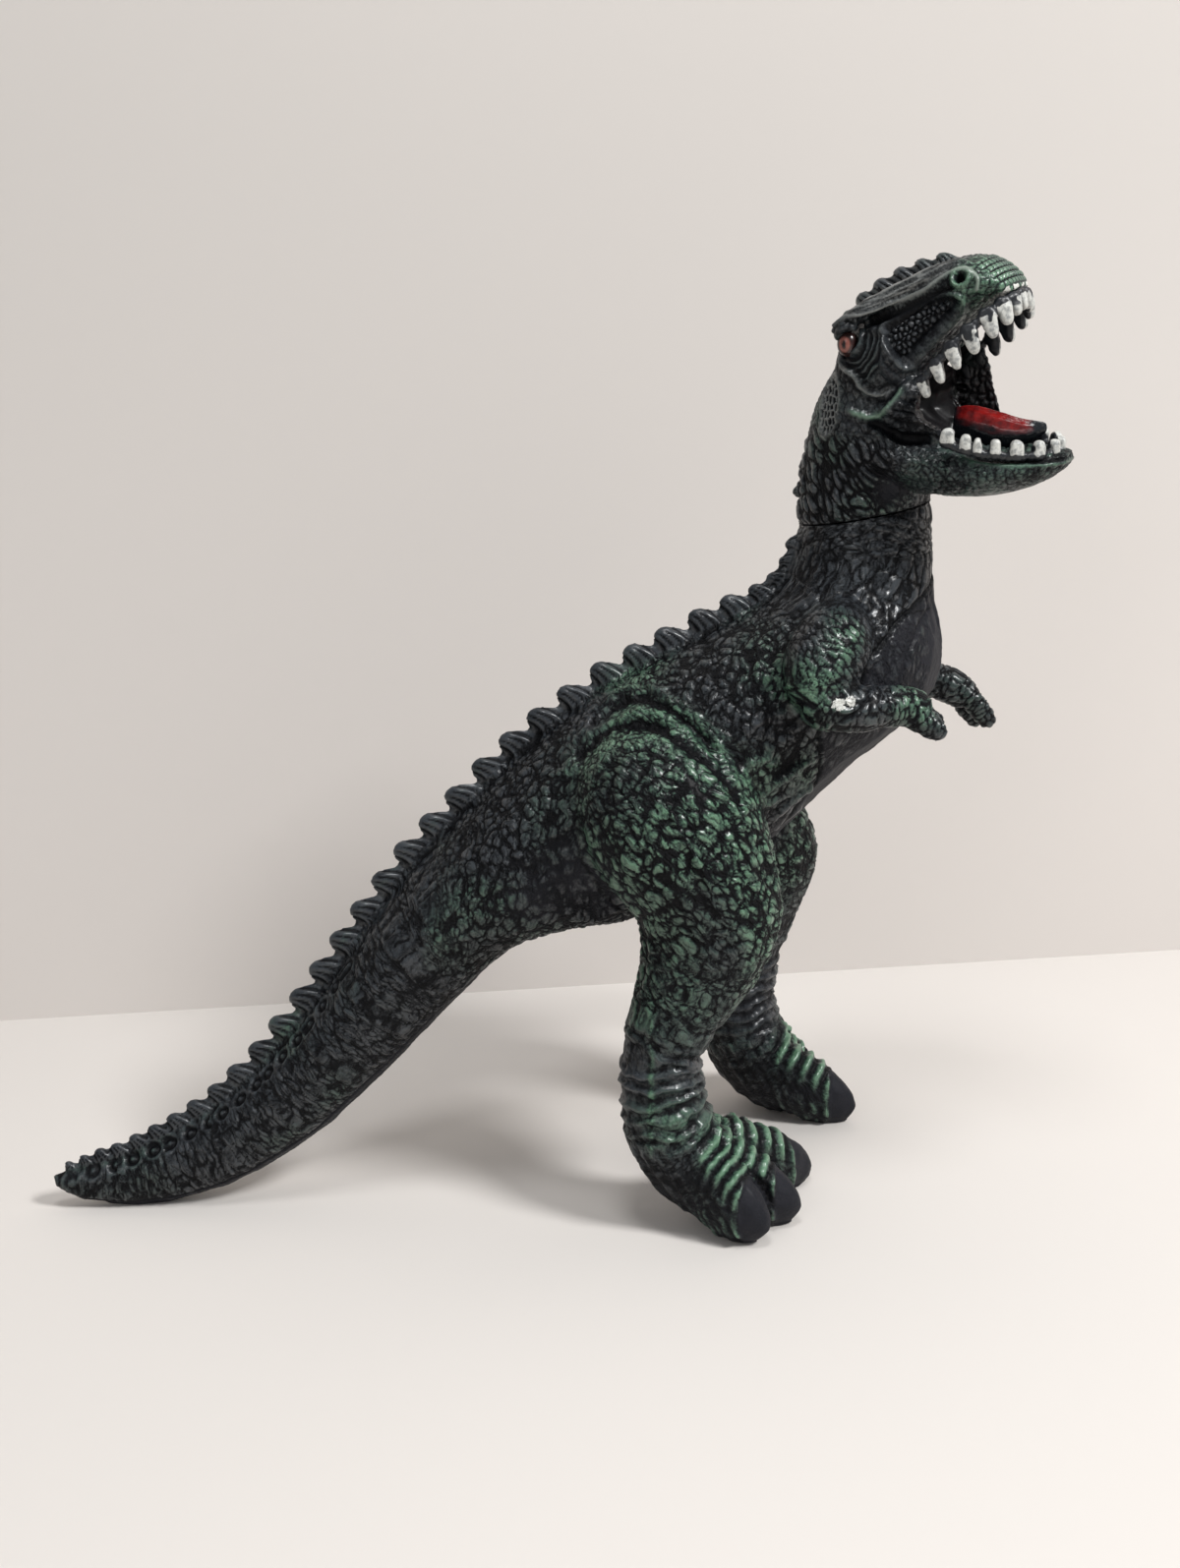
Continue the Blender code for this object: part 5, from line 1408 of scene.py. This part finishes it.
def hide_layers(finish, colours):
    """Black vinyl under green and grey brushed paint, with painted shade in its creases and cell borders: its
    colour, how far it is raised and its fine noise.
    """
    relief = finish.layer("relief")
    green = finish.layer("green")
    plain = finish.layer("plain")
    cells = finish.layer("cells")
    along = finish.layer("along")
    across = finish.layer("across")
    deep = finish.layer("deep")
    where = finish.node("ShaderNodeCombineXYZ", X=along, Y=across, Z=deep)
    ripple = finish.node("ShaderNodeTexNoise", out="Color", Vector=finish.place(), Scale=330.0, Detail=3.0)
    added_up = {"operation": "MULTIPLY_ADD"}
    where = finish.node("ShaderNodeVectorMath", added_up, _0=ripple, _1=(1.0, 1.0, 1.0), _2=where)
    fine = finish.noise(1300, 3.0, 0.65)
    patchy = finish.noise(170, 4.0, 0.65)
    edge = finish.cells(1.0, where)
    knob = edge.step(0.0, 0.3)
    small = finish.cells(2.3, where).step(0.0, 0.2)
    pattern = knob * 0.8 + small * 0.2
    surface = (relief * 0.5 + pattern * 0.5) * relief.step(0.0, 0.3)
    surface = cells * surface + (1.0 - cells) * relief
    raised = (surface + (fine - 0.5) * 0.7 + (patchy - 0.5) * 0.2).step(0.12, 0.88)
    brushed = (raised * (green + (patchy - 0.5) * 0.55).step(0.12, 1.0)).clamp()
    greyed = (raised * (patchy * 0.9 + 0.35)).clamp()
    # Painted shade: the vinyl darkens to the crease colour where the surface is low, in creases and cell
    # borders
    dark = finish.mix(surface, colours.deep, colours.dark)
    grey = finish.mix(greyed * 0.6, dark, colours.grey)
    painted = finish.mix(brushed * 0.92, grey, colours.green)
    # Lighter green on the highest brushed knobs: dry-brushed paint that is also a painted highlight
    painted = finish.mix((brushed**2.0) * 0.75, painted, colours.bright)
    smooth = finish.mix(((patchy - 0.3) * 1.6).clamp(), colours.plain, colours.dark)
    painted = finish.mix(plain * 0.85, painted, smooth)
    finish.rise(pattern * cells + fine * 0.22 + patchy * 0.30, 0.001, 1.0)
    return painted, raised, fine


def gloss(finish, raised):
    """A glossy skin over the raised places only, with dull creases under it."""
    finish.put("Specular IOR Level", 0.12)
    finish.put("Roughness", 0.6)
    finish.put("Coat Roughness", 0.3)
    finish.put("Coat IOR", 1.6)
    finish.put("Coat Weight", raised * 0.85 + 0.05)


def hide_material(colours):
    """The body's painted vinyl."""
    finish = Finish("painted hide", 0.45)
    base, raised, fine = hide_layers(finish, colours)
    scuffed = (finish.layer("scuff") + (fine - 0.5) * 1.2).step(0.45, 0.55)
    finish.put("Base Color", finish.mix(scuffed, base, colours.tooth))
    gloss(finish, raised)
    return finish.material


def head_material(colours):
    """The hide's finish, with pale rubbed edges, a dark mouth of dark vinyl with painted shade, and white
    paint on the lip.
    """
    finish = Finish("painted head", 0.45)
    base, raised, fine = hide_layers(finish, colours)
    pale = finish.layer("pale")
    mouth = finish.layer("mouth")
    white = finish.layer("white")
    base = finish.mix((pale * raised * 0.75).clamp(), base, colours.pale)
    # The mouth: its dark vinyl, deepened by painted shade
    base = finish.mix(mouth, base, colours.mouth)
    base = finish.mix((white + (fine - 0.5) * 0.8).step(0.45, 0.6), base, colours.tooth)
    finish.put("Base Color", base)
    gloss(finish, (raised + 0.5 * mouth).clamp())
    return finish.material


def tooth_material(colours):
    """White paint on the outside of the teeth, worn off in streaks, over dark vinyl."""
    finish = Finish("tooth paint", 0.38)
    white = finish.layer("white")
    streak = finish.noise(700, 2.0, 0.6)
    speck = finish.noise(1800, 2.0, 0.6)
    share = (white + (streak - 0.5) * 0.8).step(0.25, 0.7)
    tone = finish.mix(streak.step(0.4, 0.7) * 0.7 + speck * 0.2, colours.tooth, linear(118, 121, 122))
    finish.put("Base Color", finish.mix(share, colours.dark, tone))
    finish.rise(speck, 0.0001, 0.5)
    return finish.material


def tongue_material(colours):
    """Glossy red paint that leaves the tip bare."""
    finish = Finish("tongue paint", 0.22)
    red = finish.layer("red")
    streak = finish.noise(260, 3.0, 0.6)
    tone = finish.mix(streak.step(0.3, 0.7), linear(150, 30, 28), linear(84, 12, 15))
    finish.put("Base Color", finish.mix(red, colours.dark, tone))
    finish.rise(finish.noise(600), 0.00025, 0.5)
    return finish.material


def eye_material(colours):
    """Pinkish brown paint with a black slit and a dark rim."""
    finish = Finish("eye paint", 0.25)
    slit = finish.layer("slit")
    rim = finish.layer("rim")
    tone = finish.mix(finish.noise(900), linear(150, 92, 80), linear(112, 62, 54))
    base = finish.mix(slit, tone, linear(12, 10, 12))
    finish.put("Base Color", finish.mix(rim * 0.9, base, colours.deep))
    return finish.material


def neck_material():
    """Plain moulded plastic inside the neck."""
    finish = Finish("neck plastic", 0.5)
    grain = finish.noise(400, 2.0)
    finish.put("Base Color", finish.mix(grain * 0.4, linear(62, 63, 66), linear(48, 49, 52)))
    finish.rise(grain, 0.0001, 0.4)
    return finish.material


class DinosaurColours(bpy.types.PropertyGroup):
    """Paints of the figure."""

    dark: FloatVectorProperty(
        name="Vinyl", description="Colour of the bare vinyl", subtype="COLOR", default=linear(23, 26, 31)
    )
    # Painted shade: the darkest colour, laid in the hide's creases and cell borders; the eyes' dark rim uses
    # it too
    deep: FloatVectorProperty(
        name="Crease shade", description="Painted shade in the creases", subtype="COLOR", default=linear(6, 7, 10)
    )
    grey: FloatVectorProperty(
        name="Grey wash", description="Colour of the rubbed grey paint", subtype="COLOR",
        default=linear(60, 67, 73),
    )
    green: FloatVectorProperty(
        name="Green", description="Colour of the dry-brushed green", subtype="COLOR",
        default=linear(47, 80, 62),
    )
    # Lighter green on the highest knobs: dry-brushed paint and a painted highlight
    bright: FloatVectorProperty(
        name="Top green and highlight", description="Colour of the green paint and painted highlight on the highest knobs", subtype="COLOR",
        default=linear(104, 142, 114),
    )
    plain: FloatVectorProperty(
        name="Belly", description="Colour of the smooth belly", subtype="COLOR", default=linear(40, 40, 46)
    )
    pale: FloatVectorProperty(
        name="Rubbed edges", description="Colour of the palest rubbed edges", subtype="COLOR",
        default=linear(132, 134, 130),
    )
    # The mouth's dark vinyl deepened by painted shade, laid where no side view reaches
    mouth: FloatVectorProperty(
        name="Mouth", description="Colour inside the mouth", subtype="COLOR", default=linear(15, 12, 15)
    )
    tooth: FloatVectorProperty(
        name="Teeth", description="Colour of the teeth's paint", subtype="COLOR",
        default=linear(204, 204, 198),
    )


class DinosaurSizes(bpy.types.PropertyGroup):
    """Fineness of the figure's meshes."""

    grain: FloatProperty(
        name="Hide grain", description="Face size of the body's hide, in millimetres",
        default=0.66, min=0.4, max=3.0,
    )
    head_grain: FloatProperty(
        name="Head grain", description="Face size of the head, in millimetres", default=0.5, min=0.3, max=3.0
    )


def settle(item, material, slot, *nodes):
    """Gives a piece its finish and its place among the CAD nodes."""
    item.data.materials.clear()
    item.data.materials.append(material)
    bodies = frame["record"]["behaviour"]["bodies"]
    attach(item, next(body for body in bodies if nodes[0] in bodies[body]))
    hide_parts(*nodes)


class DINO_OT_body(bpy.types.Operator):
    """Moulds the body's hide"""

    bl_idname = "dino.body"
    bl_label = "Body hide"

    def execute(self, context):
        sizes = context.scene.dinosaur_sizes
        hide = make_body_hide(sizes.grain * (1.0))
        settle(hide, hide_material(context.scene.dinosaur_colours), "dark green vinyl", *BODY_NODES)
        return {"FINISHED"}


class DINO_OT_head(bpy.types.Operator):
    """Moulds the head's hide"""

    bl_idname = "dino.head"
    bl_label = "Head hide"

    def execute(self, context):
        sizes = context.scene.dinosaur_sizes
        hide = make_head_hide(sizes.head_grain * (1.0))
        settle(hide, head_material(context.scene.dinosaur_colours), "dark green vinyl", "head_skin")
        return {"FINISHED"}


class DINO_OT_mouth(bpy.types.Operator):
    """Makes the teeth and the tongue"""

    bl_idname = "dino.mouth"
    bl_label = "Teeth and tongue"

    def execute(self, context):
        colours = context.scene.dinosaur_colours
        for name, node, teeth, way, taper in (
            ("upper_tooth_row", "upper_teeth", UPPER_TEETH, UPPER_WAY, 0.2),
            ("lower_tooth_row", "lower_teeth", LOWER_TEETH, LOWER_WAY, 0.07),
        ):
            settle(make_teeth(name, teeth, way, taper), tooth_material(colours), "tooth paint", node)
        settle(make_tongue(), tongue_material(colours), "tongue paint", "tongue")
        return {"FINISHED"}


class DINO_OT_eyes(bpy.types.Operator):
    """Makes the painted eyes"""

    bl_idname = "dino.eyes"
    bl_label = "Eyes"

    def execute(self, context):
        for side in ("left", "right"):
            ball = make_eye("painted_eye_" + side, "eye_" + side)
            settle(ball, eye_material(context.scene.dinosaur_colours), "eye paint", "eye_" + side)
        return {"FINISHED"}


class DINO_OT_neck(bpy.types.Operator):
    """Finishes the ring and the plug inside the neck"""

    bl_idname = "dino.neck"
    bl_label = "Neck joint"

    def execute(self, context):
        material = neck_material()
        for node in ("neck_socket", "neck_plug"):
            mesh = frame["nodes"][node].data
            mesh.materials.clear()
            mesh.materials.append(material)
        return {"FINISHED"}


class DINO_OT_studio(bpy.types.Operator):
    """Sets the floor, the wall, the lamps and the camera"""

    bl_idname = "dino.studio"
    bl_label = "Studio"

    def execute(self, context):
        make_stage()
        make_lamps()
        make_camera()
        return {"FINISHED"}


def stage_material(name, low, high):
    """A pale matt surface, of one colour low down and another higher up; on the wall this change is painted
    shade.
    """
    finish = Finish(name, 0.9)
    level = finish.node("ShaderNodeSeparateXYZ", out="Z", Vector=finish.place()).step(0.05, 0.42)
    drift = finish.noise(1.4, 1.0, 0.5)
    finish.put("Base Color", finish.mix((level * 0.85 + drift * 0.15).clamp(), low, high))
    return finish.material


def make_stage():
    """The pale floor, and the wall behind it, with painted shade that darkens it higher up."""
    pale = linear(221, 216, 211)
    foot = [(ROOM_LEFT, WALL_PLACE, 0), (ROOM_RIGHT, WALL_PLACE, 0)]
    front = [(ROOM_LEFT, ROOM_FRONT, 0), (ROOM_RIGHT, ROOM_FRONT, 0)]
    top = [(ROOM_RIGHT, WALL_PLACE, WALL_HEIGHT), (ROOM_LEFT, WALL_PLACE, WALL_HEIGHT)]
    for name, corners, low, high in (
        ("floor", [*front, *reversed(foot)], pale, pale),
        # Painted shade on the wall: lighter low down, darker higher up
        ("wall", [*foot, *top], linear(217, 211, 206), linear(198, 193, 188)),
    ):
        mesh = bpy.data.meshes.new(name)
        mesh.from_pydata([tuple(np.array(corner) * MM + SHIFT) for corner in corners], [], [(0, 1, 2, 3)])
        mesh.materials.append(stage_material(name + " paint", low, high))
        added(name, mesh)


def make_lamps():
    """The room's faint light and three round lamps that point at the figure."""
    world = bpy.data.worlds.new("room")
    bpy.context.scene.world = world
    world.use_nodes = True
    background = world.node_tree.nodes["Background"]
    background.inputs["Color"].default_value = ROOM_LIGHT
    background.inputs["Strength"].default_value = ROOM_BRIGHTNESS
    target = Vector(SHIFT) + Vector((0.0, 0.0, 0.14))
    for name, place, size, power in LAMPS:
        light = bpy.data.lights.new(name, "AREA")
        light.shape = "DISK"
        light.size = size
        light.energy = power
        item = added(name, light)
        item.location = Vector(np.array(place) * MM + SHIFT)
        item.rotation_mode = "QUATERNION"
        item.rotation_quaternion = (target - item.location).to_track_quat("-Z", "Y")


def make_camera():
    """The photograph's view: from the figure's right, a little above it."""
    right = Vector((0.99515, -0.09402, -0.02885))
    up = Vector((0.04989, 0.22987, 0.97194))
    ahead = Vector((0.08475, 0.96867, -0.23345))
    camera = bpy.data.cameras.new("camera")
    camera.lens = 38.37
    item = added("camera", camera)
    matrix = Matrix((right, up, -ahead)).transposed().to_4x4()
    matrix.translation = Vector(np.array((-73.36, -527.67, 264.0)) * MM + SHIFT)
    item.matrix_world = matrix
    bpy.context.scene.camera = item


class DINO_PT_panel(bpy.types.Panel):
    """Lists the figure's pieces"""

    bl_label = "Dinosaur figure"
    bl_idname = "DINO_PT_panel"
    bl_space_type = "VIEW_3D"
    bl_region_type = "UI"
    bl_category = "Dinosaur"

    def draw(self, context):
        layout = self.layout
        for operator in OPERATORS:
            layout.operator(operator.bl_idname)
        for name in DinosaurColours.__annotations__:
            layout.prop(context.scene.dinosaur_colours, name)
        for name in DinosaurSizes.__annotations__:
            layout.prop(context.scene.dinosaur_sizes, name)


OPERATORS = (DINO_OT_studio, DINO_OT_body, DINO_OT_head, DINO_OT_mouth, DINO_OT_eyes, DINO_OT_neck)
CLASSES = (DinosaurColours, DinosaurSizes, *OPERATORS, DINO_PT_panel)


def register():
    for item in CLASSES:
        bpy.utils.register_class(item)
    bpy.types.Scene.dinosaur_colours = PointerProperty(type=DinosaurColours)
    bpy.types.Scene.dinosaur_sizes = PointerProperty(type=DinosaurSizes)


def unregister():
    del bpy.types.Scene.dinosaur_colours
    del bpy.types.Scene.dinosaur_sizes
    for item in reversed(CLASSES):
        bpy.utils.unregister_class(item)


def main():
    register()
    bpy.context.scene.view_settings.view_transform = "Standard"
    for operator in OPERATORS:
        group, step = operator.bl_idname.split(".")
        getattr(getattr(bpy.ops, group), step)()


if __name__ == "__main__":
    main()
